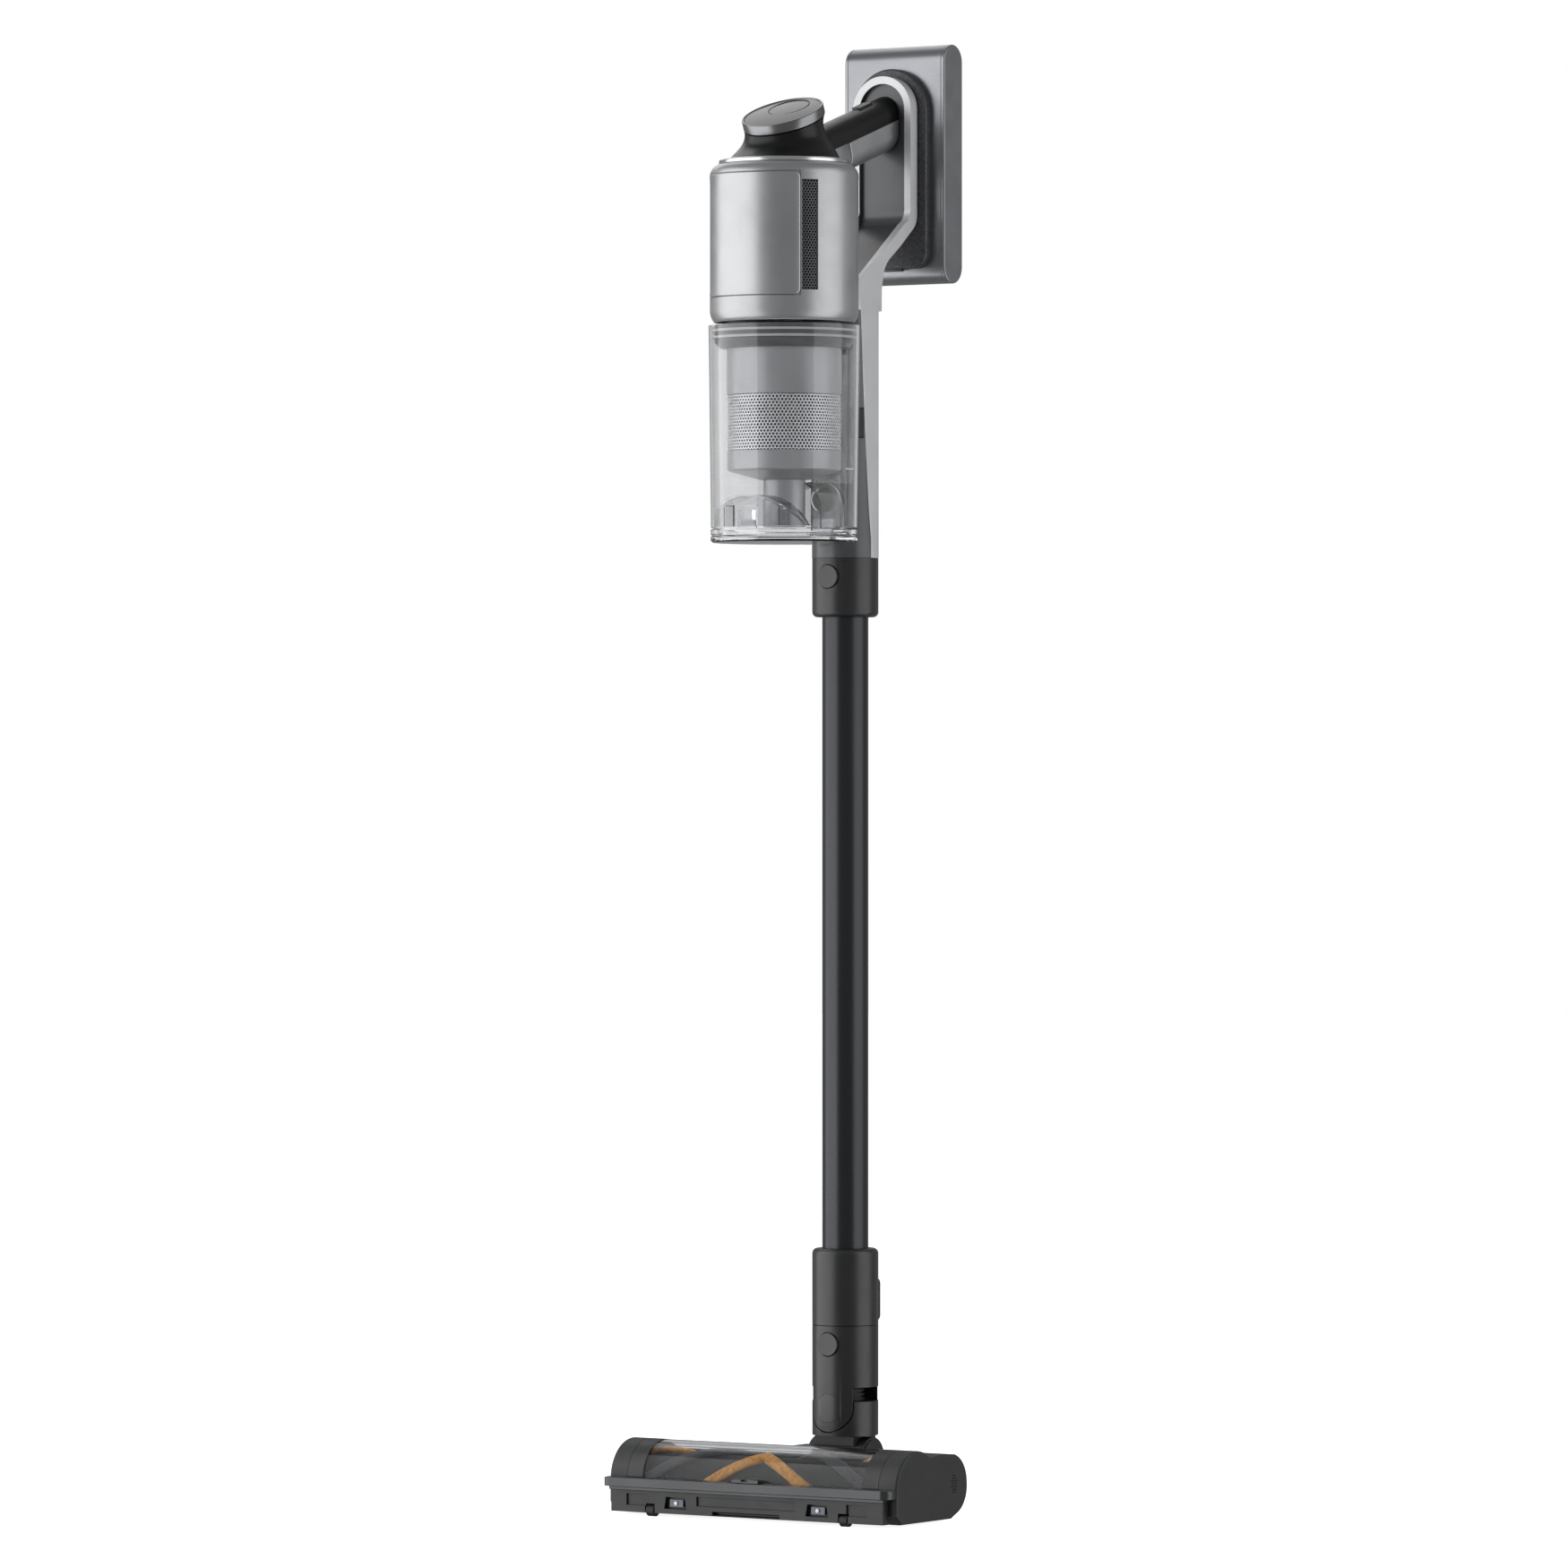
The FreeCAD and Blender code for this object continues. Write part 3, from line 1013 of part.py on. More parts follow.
def head_chassis():
    """Motor housing behind the roller, side walls with the bearing seats, and the sole frame."""
    x0, x1 = -HEAD_SIDE, HEAD_SIDE
    body = side_plate(head_outline(), x0, x1)
    body = body.cut(box(x0 - 1, x1 + 1, -200, COVER_BACK_Y + COVER_GAP, SOLE_Z + 2.6, 80))
    body = body.cut(cyl_x(CHAMBER_R, x0 - 1, x1 + 1, ROLLER_Y, ROLLER_Z))
    cavity = inset_plate(WALL, x0 - 1, x1 + 1)
    cavity = cavity.cut(cyl_x(CHAMBER_R + WALL, x0 - 2, x1 + 2, ROLLER_Y, ROLLER_Z))
    cavity = cavity.cut(box(x0 - 2, x1 + 2, -200, ROLLER_Y + CHAMBER_R - 2.0, 0, 80))
    body = body.cut(cavity)
    mouth = box(-SIDE_WALL_X + 1, SIDE_WALL_X - 1, ROLLER_Y - 16.5, ROLLER_Y + 16.5, 0, SOLE_Z + 3)
    body = body.cut(mouth).cut(box(x0 - 1, x1 + 1, -200, ROLLER_Y - 21.0, 0, 80))
    wall = inset_plate(COVER_T + 0.6, SIDE_WALL_X, x1).cut(box(0, 200, ROLLER_Y + 20, 0, 0, 100))
    wall = wall.cut(cyl_x(BEARING_R, 0, 200, ROLLER_Y, ROLLER_Z))
    wall = wall.cut(box(0, 200, -200, ROLLER_Y - 21.0, 0, LIP_Z0))
    for solid in pair(wall):
        body = body.fuse(solid)
    for side in (-1, 1):
        body = body.cut(cyl_x(KNUCKLE_R, side * HINGE_X - 4.0, side * HINGE_X + 4.0, *COVER_HINGE))
        x = side * REAR_WHEEL_X
        body = body.cut(wheel_pocket(x, REAR_WHEEL_Y, REAR_WHEEL_R, REAR_WHEEL_R, REAR_WHEEL_LEN))
        half = REAR_WHEEL_LEN / 2 + 3.9
        cheek = box(x - half, x + half, REAR_WHEEL_Y - 4, REAR_WHEEL_Y + 4, SOLE_Z, REAR_WHEEL_R + 4)
        cheek = cheek.cut(wheel_pocket(x, REAR_WHEEL_Y, REAR_WHEEL_R, 20, REAR_WHEEL_LEN))
        body = body.fuse(cheek)
    body = body.cut(cyl_x(WHEEL_PIN_R + RUN, -HEAD_SIDE, HEAD_SIDE, REAR_WHEEL_Y, REAR_WHEEL_R))
    body = body.cut(cyl_y(FOOT_AIR_R, -70, 0, 0, PITCH_Z - 6.0))
    return body.cut(cyl_y(FOOT_AIR_R, ROLLER_Y + 15, -40, 0, ROLLER_Z)).removeSplitter()


def tail_bracket():
    """Bracket behind the head with two cheeks, pins and the air passage to the neck."""
    web_y = -BARREL_R - 1.0
    low = PITCH_Z - CHEEK_R
    web = box(-CHEEK_OUT, CHEEK_OUT, HEAD_BACK_Y - 14, web_y, low, ROLLER_Z + 24.0)
    web = web.cut(cyl_y(FOOT_AIR_R, -80, 0, 0, PITCH_Z - 6.0))
    cheek = cyl_x(CHEEK_R, CHEEK_IN, CHEEK_OUT, 0, PITCH_Z)
    cheek = cheek.fuse(box(CHEEK_IN, CHEEK_OUT, HEAD_BACK_Y, 0, low, PITCH_Z + 9))
    cheek = cheek.fuse(cyl_x(CHEEK_R - 2.0, CHEEK_OUT, CHEEK_OUT + 0.9, 0, PITCH_Z))
    cheek = cheek.fuse(cyl_x(PITCH_PIN_R, NECK_BORE_R + 0.4, CHEEK_OUT, 0, PITCH_Z))
    body = web
    for solid in pair(cheek):
        body = body.fuse(solid)
    body = body.cut(side_plate(head_outline(), -HEAD_SIDE, HEAD_SIDE))
    return body.removeSplitter()


def front_lip():
    """Satin lip along the front edge, with rounded ends and the slot of the latch."""
    back_y = ROLLER_Y - COVER_R - 0.3
    half = HEAD_HALF - 0.4
    under_half = HEAD_HALF - 6
    fill_half = HEAD_SIDE - AIR
    lip = box(-half, half, LIP_FRONT_Y, back_y, LIP_Z0, LIP_Z1)
    lip = lip.fuse(box(-under_half, under_half, LIP_FRONT_Y + 3, back_y, BUMPER_TOP_Z, LIP_Z0))
    lip = rounded(lip, 7.5, front_corner)
    lip = lip.fuse(box(-fill_half, fill_half, back_y, ROLLER_Y - CHAMBER_R - 1.6, LIP_Z0, LIP_Z1))
    return lip.cut(latch_stem(FIT_GAP, LATCH_TRAVEL))


def front_corner(edge):
    """True for the upright edges at the lip's two front ends."""
    size = edge.BoundBox
    upright = size.ZMax - size.ZMin > LIP_Z1 - LIP_Z0 - 0.01
    return upright and abs(size.YMin - LIP_FRONT_Y) < 1e-3 and abs(abs(size.XMin) - HEAD_HALF + 0.4) < 1e-3


def latch_stem(grow, travel):
    """Stem of the cover latch, grown and drawn out for its slot."""
    y0 = LIP_FRONT_Y + 5.0
    return box(-6 - grow, 6 + grow, y0 - grow - travel, y0 + 3 + grow, LIP_Z0 + 2.5 - grow, LIP_Z1 + AIR)


def lip_latch():
    """Sliding latch of the cover."""
    plate = box(-LATCH_HALF_X, LATCH_HALF_X, LIP_FRONT_Y + LATCH_TRAVEL + 0.2, ROLLER_Y - COVER_R - 1.5,
                LIP_Z1 + AIR, LIP_Z1 + 3.0)
    plate = rounded(plate, 1.0, flat_edge(2, LIP_Z1 + 3.0))
    plate = plate.cut(box(-3.5, 3.5, -150, LIP_FRONT_Y + 7.0, LIP_Z1 + 1.4, LIP_Z1 + 5))
    return plate.fuse(latch_stem(0, 0)).removeSplitter()


def front_bumper():
    """Bumper below the lip, with light windows, recesses and notches for the front wheels."""
    face_y = LIP_FRONT_Y + 4.6
    back_y = ROLLER_Y - COVER_R - 0.3
    low = SOLE_Z + 0.8
    body = box(-HEAD_HALF + 7, HEAD_HALF - 7, face_y, back_y, low, BUMPER_TOP_Z)
    inner_half = SIDE_WALL_X - 0.2
    inner = box(-inner_half, inner_half, back_y, ROLLER_Y - 21.2, SOLE_Z, BUMPER_TOP_Z)
    body = body.fuse(inner.cut(cyl_x(CHAMBER_R, -HEAD_HALF - 50, HEAD_HALF + 50, ROLLER_Y, ROLLER_Z)))
    for side in (-1, 1):
        x = side * WINDOW_X
        window = [(x - 10, 6.5), (x - 8.4, 15.5), (x + 8.4, 15.5), (x + 10, 6.5)]
        body = body.cut(front_plate(window, face_y - 1, face_y + 4))
        recess_x = side * (WINDOW_X + 35)
        body = body.cut(box(recess_x - 9, recess_x + 9, face_y - 1, face_y + 1.6, 8, LIP_Z0 - 5))
        body = body.cut(wheel_pocket(side * FRONT_WHEEL_X, FRONT_WHEEL_Y, FRONT_WHEEL_R, FRONT_WHEEL_R,
                                     FRONT_WHEEL_LEN))
    pin_end = FRONT_WHEEL_X + 14
    body = body.cut(box(-44, 44, face_y - 1, face_y + 1.6, 9.5, LIP_Z0 - 5))
    body = body.cut(box(-30, 30, face_y - 1, face_y + 3.6, low - 1, 6.2))
    return body.cut(cyl_x(WHEEL_PIN_R + RUN, -pin_end, pin_end, FRONT_WHEEL_Y, FRONT_WHEEL_R)).removeSplitter()


def headlight(side):
    """Lens block in a light window."""
    x = side * WINDOW_X
    face_y = LIP_FRONT_Y + 4.6
    lens = box(x - 6, x + 6, face_y + 1.6, face_y + 4, 8.2, 13.6)
    return lens.fuse(cyl_y(1.3, face_y + 1.0, face_y + 3, x, 10.9))


def cover_shell(x0, x1, proud):
    """Stretch of the round cover between two planes across X."""
    shell = ring_x(COVER_R + proud, COVER_R - COVER_T, x0, x1, ROLLER_Y, ROLLER_Z)
    shell = shell.cut(box(-200, 200, COVER_BACK_Y, 0, 0, 100))
    return shell.cut(box(-200, 200, -200, 0, -10, LIP_Z1 + AIR))


def cover_frame():
    """Opaque right-hand end of the cover with its hinge knuckle."""
    inner_x = HEAD_SIDE - AIR - FRAME_W
    frame = cover_shell(inner_x, HEAD_SIDE - AIR, 0)
    return frame.fuse(cyl_x(KNUCKLE_R - 0.5, HINGE_X - 3.0, HINGE_X + 3.0, *COVER_HINGE)).removeSplitter()


def roller_core():
    """Roller body with its hubs and the driven pulley."""
    core = cyl_x(ROLLER_CORE_R, -ROLLER_HALF, ROLLER_HALF, ROLLER_Y, ROLLER_Z)
    core = core.cut(cyl_x(ROLLER_CORE_R - 3, -ROLLER_HALF + 4, ROLLER_HALF - 4, ROLLER_Y, ROLLER_Z))
    core = core.fuse(cyl_x(HUB_R, PULLEY_X, HEAD_SIDE + 1, ROLLER_Y, ROLLER_Z))
    core = core.fuse(cyl_x(BIG_PULLEY_R, PULLEY_X, PULLEY_X + PULLEY_W, ROLLER_Y, ROLLER_Z))
    return core.removeSplitter()


def strip(start):
    """One V-shaped pile strip round the roller; start is its angle at the middle."""
    halves = []
    steps = 10
    for side in (-1, 1):
        wires = []
        for step in range(steps + 1):
            share = step / steps
            x = side * share * (ROLLER_HALF - 0.5)
            angle = start + STRIP_SWEEP * share
            half_turn = math.degrees(STRIP_W / 2 / ROLLER_R)
            points = [on_circle(radius, angle + turn) for radius, turn in
                      ((ROLLER_CORE_R - 1.0, -half_turn), (ROLLER_R, -half_turn), (ROLLER_R, half_turn),
                       (ROLLER_CORE_R - 1.0, half_turn))]
            wires.append(Part.makePolygon([V(x, y, z) for y, z in points + points[:1]]))
        halves.append(Part.makeLoft(wires, True, True))
    body = halves[0].fuse(halves[1])
    return body.cut(cyl_x(ROLLER_CORE_R, -ROLLER_HALF - 1, ROLLER_HALF + 1, ROLLER_Y, ROLLER_Z))


def belt_solid(grow, x0, x1):
    """Belt outline round both pulleys, filled, grown from the pulleys' radii."""
    big, small = BIG_PULLEY_R + grow, SMALL_PULLEY_R + grow
    distance = math.hypot(BRUSH_MOTOR_Y - ROLLER_Y, BRUSH_MOTOR_Z - ROLLER_Z)
    lean = math.atan2(BRUSH_MOTOR_Z - ROLLER_Z, BRUSH_MOTOR_Y - ROLLER_Y)
    spread = math.acos((big - small) / distance)
    points = []
    roller, motor = (ROLLER_Y, ROLLER_Z), (BRUSH_MOTOR_Y, BRUSH_MOTOR_Z)
    for centre, radius, side in ((roller, big, 1), (motor, small, 1), (motor, small, -1), (roller, big, -1)):
        angle = lean + side * spread
        points.append((centre[0] + radius * math.cos(angle), centre[1] + radius * math.sin(angle)))
    body = side_plate(points, x0, x1).fuse(cyl_x(big, x0, x1, ROLLER_Y, ROLLER_Z))
    return body.fuse(cyl_x(small, x0, x1, BRUSH_MOTOR_Y, BRUSH_MOTOR_Z))


def build_head():
    """Floor head with roller, drive, cover, lights and wheels."""
    add("tail_bracket", tail_bracket())
    add("head_chassis", head_chassis())
    add("end_caps", *pair(end_cap()))
    add("front_bumper", front_bumper())
    add("front_lip", front_lip())
    add("lip_latch", lip_latch())
    inner_x = HEAD_SIDE - AIR - FRAME_W
    add("clear_cover", cover_shell(-inner_x, inner_x, -0.25))
    add("cover_frames", *pair(cover_frame()))
    add("headlight_lenses", headlight(-1), headlight(1))
    add("roller_core", roller_core())
    add("gold_strips", *[strip(GOLD_START + 180 * index) for index in range(STRIP_COUNT)])
    add("grey_strips", *[strip(GOLD_START + 90 + 180 * index) for index in range(STRIP_COUNT)])
    bearing = ring_x(BEARING_R, HUB_R + RUN, SIDE_WALL_X, HEAD_SIDE, ROLLER_Y, ROLLER_Z)
    add("roller_bearings", *pair(bearing))
    motor_x0 = PULLEY_X + PULLEY_W + 30.0
    motor_x1 = motor_x0 + BRUSH_MOTOR_LEN
    add("brush_motor", ring_x(BRUSH_MOTOR_R, 2.0 + RUN, motor_x0, motor_x1, BRUSH_MOTOR_Y, BRUSH_MOTOR_Z))
    pulley = cyl_x(SMALL_PULLEY_R, PULLEY_X, PULLEY_X + PULLEY_W, BRUSH_MOTOR_Y, BRUSH_MOTOR_Z)
    add("motor_pulley", pulley.fuse(cyl_x(2.0, PULLEY_X, motor_x1, BRUSH_MOTOR_Y, BRUSH_MOTOR_Z)))
    belt = belt_solid(BELT_T + BELT_AIR, PULLEY_X + 0.5, PULLEY_X + PULLEY_W - 0.5)
    add("drive_belt", belt.cut(belt_solid(BELT_AIR, PULLEY_X, PULLEY_X + PULLEY_W)))
    front_wheel = wheel(FRONT_WHEEL_X, FRONT_WHEEL_Y, FRONT_WHEEL_R, FRONT_WHEEL_LEN)
    add("front_wheels", *pair(front_wheel))
    rear_wheel = wheel(REAR_WHEEL_X, REAR_WHEEL_Y, REAR_WHEEL_R, REAR_WHEEL_LEN)
    add("rear_wheels", *pair(rear_wheel))


# ---------------------------------------------------------------- write the parts
def write_parts():
    """Move every node to the row's origin and write it to its own STEP file."""
    os.makedirs("parts", exist_ok=True)
    for name, solids in NODES.items():
        shape = Part.makeCompound(solids) if len(solids) > 1 else solids[0]
        shape = shape.copy()
        shape.translate(V(0, ORIGIN_SHIFT, 0))
        shape.exportStep(os.path.join("parts", name + ".step"))


build_main_unit()
build_battery()
build_bin()
build_wand()
build_neck()
build_head()
write_parts()
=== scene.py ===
"""Looks of a cordless stick vacuum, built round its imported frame.

The frame gives every size and place. Pieces that show are either frame nodes with softened
edges and a worked finish, or new meshes that stand for a node. Work is in millimetres and is
turned to metres when a piece is finished.
"""
import logging
import math
from collections.abc import Callable
from dataclasses import dataclass, field
from enum import Enum
from typing import ClassVar

import bmesh
import bpy
from mathutils import Matrix, Vector


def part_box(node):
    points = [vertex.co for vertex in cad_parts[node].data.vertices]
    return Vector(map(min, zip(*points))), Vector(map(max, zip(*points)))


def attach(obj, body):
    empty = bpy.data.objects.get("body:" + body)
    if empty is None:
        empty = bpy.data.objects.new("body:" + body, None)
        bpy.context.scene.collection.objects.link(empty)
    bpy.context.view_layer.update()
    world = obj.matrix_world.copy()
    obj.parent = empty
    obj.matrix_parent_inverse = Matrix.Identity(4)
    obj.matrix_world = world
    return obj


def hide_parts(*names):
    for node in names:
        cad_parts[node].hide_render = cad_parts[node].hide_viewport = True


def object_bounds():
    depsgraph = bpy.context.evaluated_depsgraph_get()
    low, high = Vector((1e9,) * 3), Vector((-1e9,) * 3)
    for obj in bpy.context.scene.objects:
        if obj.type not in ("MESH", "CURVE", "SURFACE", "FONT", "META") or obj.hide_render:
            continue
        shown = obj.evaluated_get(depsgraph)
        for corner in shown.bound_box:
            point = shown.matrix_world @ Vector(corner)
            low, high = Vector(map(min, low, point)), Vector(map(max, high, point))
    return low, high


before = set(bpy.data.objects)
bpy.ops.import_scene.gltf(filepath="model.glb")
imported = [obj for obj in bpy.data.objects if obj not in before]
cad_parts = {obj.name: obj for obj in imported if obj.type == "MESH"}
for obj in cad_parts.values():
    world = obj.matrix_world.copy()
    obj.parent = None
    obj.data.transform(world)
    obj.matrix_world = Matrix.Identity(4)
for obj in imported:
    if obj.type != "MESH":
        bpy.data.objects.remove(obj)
cad_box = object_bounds()

MM = 0.001
LOG = logging.getLogger("vacuum")
Tree = bpy.types.NodeTree
Socket = bpy.types.NodeSocket


# ------------------------------------------------------------------ measuring the frame
class Extent:
    """Box of one or more frame nodes, in millimetres."""

    def __init__(self, *nodes: str) -> None:
        """Read the box.

        Args:
            nodes: Names of frame nodes.
        """
        boxes = [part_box(node) for node in nodes]
        self.low = Vector(min(low[i] for low, _ in boxes) for i in range(3)) / MM
        self.high = Vector(max(high[i] for _, high in boxes) for i in range(3)) / MM
        self.centre = (self.low + self.high) / 2
        self.size = self.high - self.low


def box_of(node: str) -> Extent:
    """Dataclass field that reads a frame node's box when its owner is made."""
    return field(default_factory=lambda: Extent(node))


class Body(Enum):
    """Bodies that new pieces ride on."""

    MAIN = "main_unit"
    BIN = "bin"
    HEAD = "floor_head"
    ROLLER = "roller"


class Edge(Enum):
    """How far a frame node's sharp edges are softened, in millimetres."""

    NONE = 0.0
    FINE = 0.25
    SOFT = 0.5
    ROUND = 0.9


# ------------------------------------------------------------------ colours and nodes
def linear(code: str) -> tuple[float, float, float, float]:
    """Turn an sRGB hex code to linear light.

    Args:
        code: Colour such as "#8a8b8d".

    Returns:
        Red, green, blue and an alpha of one.
    """
    parts = [int(code[i:i + 2], 16) / 255 for i in (1, 3, 5)]
    parts = [p / 12.92 if p <= 0.04045 else ((p + 0.055) / 1.055) ** 2.4 for p in parts]
    return (*parts, 1.0)


def add_node(tree: Tree, kind: str, inputs: dict | None = None, **settings: object) -> bpy.types.Node:
    """Add a shader node with its settings and links.

    Args:
        tree: Node tree that takes the node.
        kind: Node type without its "ShaderNode" prefix.
        inputs: Socket name or number to a value or to an output socket.
        settings: Attributes of the node itself.

    Returns:
        The new node.
    """
    made = tree.nodes.new("ShaderNode" + kind)
    for key, value in settings.items():
        setattr(made, key, value)
    for key, value in (inputs or {}).items():
        if isinstance(value, Socket):
            tree.links.new(value, made.inputs[key])
        else:
            made.inputs[key].default_value = value
    return made


# Rubbed patches are this share of the distance over which the tones drift.
RUB_SHARE = 0.4


@dataclass(frozen=True)
class Finish:
    """A surface: what it is made of and what its making leaves on it.

    Two tones drift into each other over tone_mm, and a grain of grain_mm stands grain_um high.
    """

    name: str
    tone: str
    other_tone: str
    roughness: float
    grain_mm: float
    grain_um: float
    tone_mm: float = 40.0
    metallic: float = 0.0
    ior: float = 1.5
    coat: float = 0.0
    coat_roughness: float = 0.1
    sheen: float = 0.0
    transmission: float = 0.0
    stretch: tuple[float, float, float] = (1.0, 1.0, 1.0)
    wear: float = 0.04

    def coordinates(self, tree: Tree) -> Socket:
        """Object coordinates, stretched along the direction that the surface was worked in.

        Args:
            tree: Node tree of the material.

        Returns:
            The coordinates' socket.
        """
        place = add_node(tree, "TexCoord")
        mapped = add_node(tree, "Mapping", {"Vector": place.outputs["Object"], "Scale": self.stretch})
        return mapped.outputs["Vector"]

    def relief(self, tree: Tree, where: Socket) -> Socket:
        """Height of the grain.

        Args:
            tree: Node tree of the material.
            where: Coordinates that the pattern reads.

        Returns:
            The height's socket, from 0 to 1.
        """
        scale = 1 / (self.grain_mm * MM)
        noise = add_node(tree, "TexNoise", {"Vector": where, "Scale": scale, "Detail": 3.0})
        return noise.outputs["Fac"]

    def colour(self, tree: Tree, where: Socket, grain: Socket) -> Socket:
        """Drift between the two tones, broken up a little by the grain.

        Args:
            tree: Node tree of the material.
            where: Coordinates that the pattern reads.
            grain: Height of the grain.

        Returns:
            The colour's socket.
        """
        scale = 1 / (self.tone_mm * MM)
        drift = add_node(tree, "TexNoise", {"Vector": where, "Scale": scale, "Detail": 4.0})
        share = add_node(tree, "Math", {0: drift.outputs["Fac"], 1: grain}, operation="MULTIPLY")
        spread = add_node(tree, "MapRange", {"Value": share.outputs[0], "From Min": 0.12, "From Max": 0.42})
        mix = add_node(tree, "Mix", {"Factor": spread.outputs[0], 6: linear(self.tone),
                                     7: linear(self.other_tone)}, data_type="RGBA")
        return mix.outputs[2]

    def material(self) -> bpy.types.Material:
        """Build the material, or return the one already built.

        Returns:
            The node material.
        """
        known = bpy.data.materials.get(self.name)
        if known:
            return known
        made = bpy.data.materials.new(self.name)
        made.use_nodes = True
        tree = made.node_tree
        tree.nodes.clear()
        where = self.coordinates(tree)
        grain = self.relief(tree, where)
        rub_scale = 1 / (RUB_SHARE * self.tone_mm * MM)
        rub = add_node(tree, "TexNoise", {"Vector": where, "Scale": rub_scale, "Detail": 5.0})
        rough = add_node(tree, "MapRange", {"Value": rub.outputs["Fac"], "From Min": 0.3, "From Max": 0.7,
                                            "To Min": max(self.roughness - self.wear, 0.0),
                                            "To Max": self.roughness + self.wear})
        bump = add_node(tree, "Bump", {"Height": grain, "Strength": 1.0, "Distance": self.grain_um * MM * MM})
        shader = add_node(tree, "BsdfPrincipled", {
            "Base Color": self.colour(tree, where, grain), "Roughness": rough.outputs[0],
            "Normal": bump.outputs[0], "Metallic": self.metallic, "IOR": self.ior,
            "Coat Weight": self.coat, "Coat Roughness": self.coat_roughness,
            "Sheen Weight": self.sheen, "Transmission Weight": self.transmission})
        add_node(tree, "OutputMaterial", {"Surface": shader.outputs[0]})
        return made


@dataclass(frozen=True)
class ShadedCastingFinish(Finish):
    """Paint of the spine, light on its rims and flats, with painted shade darkening the channel and the
    duct's round front where their faces do not turn to the back.
    """

    # Tone of the painted shade.
    dark: str = "#4a4b4d"
    channel_half: float = 20.3
    axis_y: float = 23.2
    tip_z: float = 735.0
    top_z: float = 918.0
    flat_low: float = 25.1
    flat_high: float = 21.8
    arch_z: float = 1063.6
    arch_reach: float = 50.0
    # Faces whose normal turns less than this to the back take the painted shade.
    front_facing: float = 0.3

    def colour(self, tree: Tree, where: Socket, grain: Socket) -> Socket:
        """Light paint, and a darker tone as painted shade where a mask meets a face that does not turn to the
        back.

        Args:
            tree: Node tree of the material.
            where: Coordinates that the pattern reads.
            grain: Height of the grain.

        Returns:
            The colour's socket.
        """
        light = super().colour(tree, where, grain)
        place = add_node(tree, "TexCoord")
        spot = add_node(tree, "SeparateXYZ", {0: place.outputs["Object"]})
        facing = add_node(tree, "SeparateXYZ", {0: place.outputs["Normal"]})
        aside = add_node(tree, "Math", {0: spot.outputs["X"]}, operation="ABSOLUTE").outputs[0]
        either = add_node(tree, "Math", {0: self.duct(tree, spot, aside), 1: self.channel(tree, spot, aside)},
                          operation="MAXIMUM")
        front = add_node(tree, "Math", {0: facing.outputs["Y"], 1: self.front_facing}, operation="LESS_THAN")
        painted_shade_mask = add_node(tree, "Math", {0: either.outputs[0], 1: front.outputs[0]}, operation="MULTIPLY")
        # Painted shade: the darker tone goes on the channel and the duct front that the masks pick out.
        mix = add_node(tree, "Mix", {"Factor": painted_shade_mask.outputs[0], 6: light, 7: linear(self.dark)},
                       data_type="RGBA")
        return mix.outputs[2]

    def channel(self, tree: Tree, spot: bpy.types.Node, aside: Socket) -> Socket:
        """Mask of the channel's painted shade: straight sides with a round arch at the top.

        Args:
            tree: Node tree of the material.
            spot: Node that gives the place as X, Y and Z.
            aside: Distance from the middle plane.

        Returns:
            One in the channel and zero elsewhere.
        """
        arch, reach = self.arch_z * MM, self.arch_reach * MM
        above = add_node(tree, "MapRange", {"Value": spot.outputs["Z"], "From Min": arch,
                                            "From Max": arch + reach, "To Max": reach})
        corner = add_node(tree, "CombineXYZ", {"X": aside, "Y": above.outputs[0]})
        inner = add_node(tree, "VectorMath", {0: corner.outputs[0]}, operation="LENGTH")
        mask = add_node(tree, "Math", {0: inner.outputs["Value"], 1: self.channel_half * MM},
                        operation="LESS_THAN")
        return mask.outputs[0]

    def duct(self, tree: Tree, spot: bpy.types.Node, aside: Socket) -> Socket:
        """Mask of the painted shade on the duct's round front, between its two flats.

        Args:
            tree: Node tree of the material.
            spot: Node that gives the place as X, Y and Z.
            aside: Distance from the middle plane.

        Returns:
            One on the round front and zero elsewhere.
        """
        flat = add_node(tree, "MapRange", {"Value": spot.outputs["Z"], "From Min": self.tip_z * MM,
                                           "From Max": self.top_z * MM, "To Min": self.flat_low * MM,
                                           "To Max": self.flat_high * MM})
        within = add_node(tree, "Math", {0: aside, 1: flat.outputs[0]}, operation="LESS_THAN")
        before = add_node(tree, "Math", {0: spot.outputs["Y"], 1: self.axis_y * MM}, operation="LESS_THAN")
        under = add_node(tree, "Math", {0: spot.outputs["Z"], 1: self.top_z * MM}, operation="LESS_THAN")
        front = add_node(tree, "Math", {0: within.outputs[0], 1: before.outputs[0]}, operation="MULTIPLY")
        mask = add_node(tree, "Math", {0: front.outputs[0], 1: under.outputs[0]}, operation="MULTIPLY")
        return mask.outputs[0]


@dataclass(frozen=True)
class ClearFinish(Finish):
    """Clear plastic: nearly colourless face on, and grey where a wall is seen along its length."""

    rim: str = "#55575a"
    turn_from: float = 0.62

    def colour(self, tree: Tree, where: Socket, grain: Socket) -> Socket:
        """Tint that deepens towards grazing walls, as the way through the plastic grows longer.

        Args:
            tree: Node tree of the material.
            where: Coordinates that the pattern reads.
            grain: Height of the grain.

        Returns:
            The colour's socket.
        """
        clear = super().colour(tree, where, grain)
        slant = add_node(tree, "LayerWeight", {"Blend": 0.5})
        deep = add_node(tree, "MapRange", {"Value": slant.outputs["Facing"], "From Min": self.turn_from,
                                           "From Max": 1.0})
        mix = add_node(tree, "Mix", {"Factor": deep.outputs[0], 6: clear, 7: linear(self.rim)},
                       data_type="RGBA")
        return mix.outputs[2]


# ------------------------------------------------------------------ finishes
# Spray-painted ABS with aluminium flake: soft broad highlights and a faint sparkle.
FLAKE_PAINT = Finish("metallic_painted_abs", "#a2a3a5", "#acadaf", 0.4, 0.7, 4.0, metallic=0.82, coat=0.25,
                     coat_roughness=0.18)
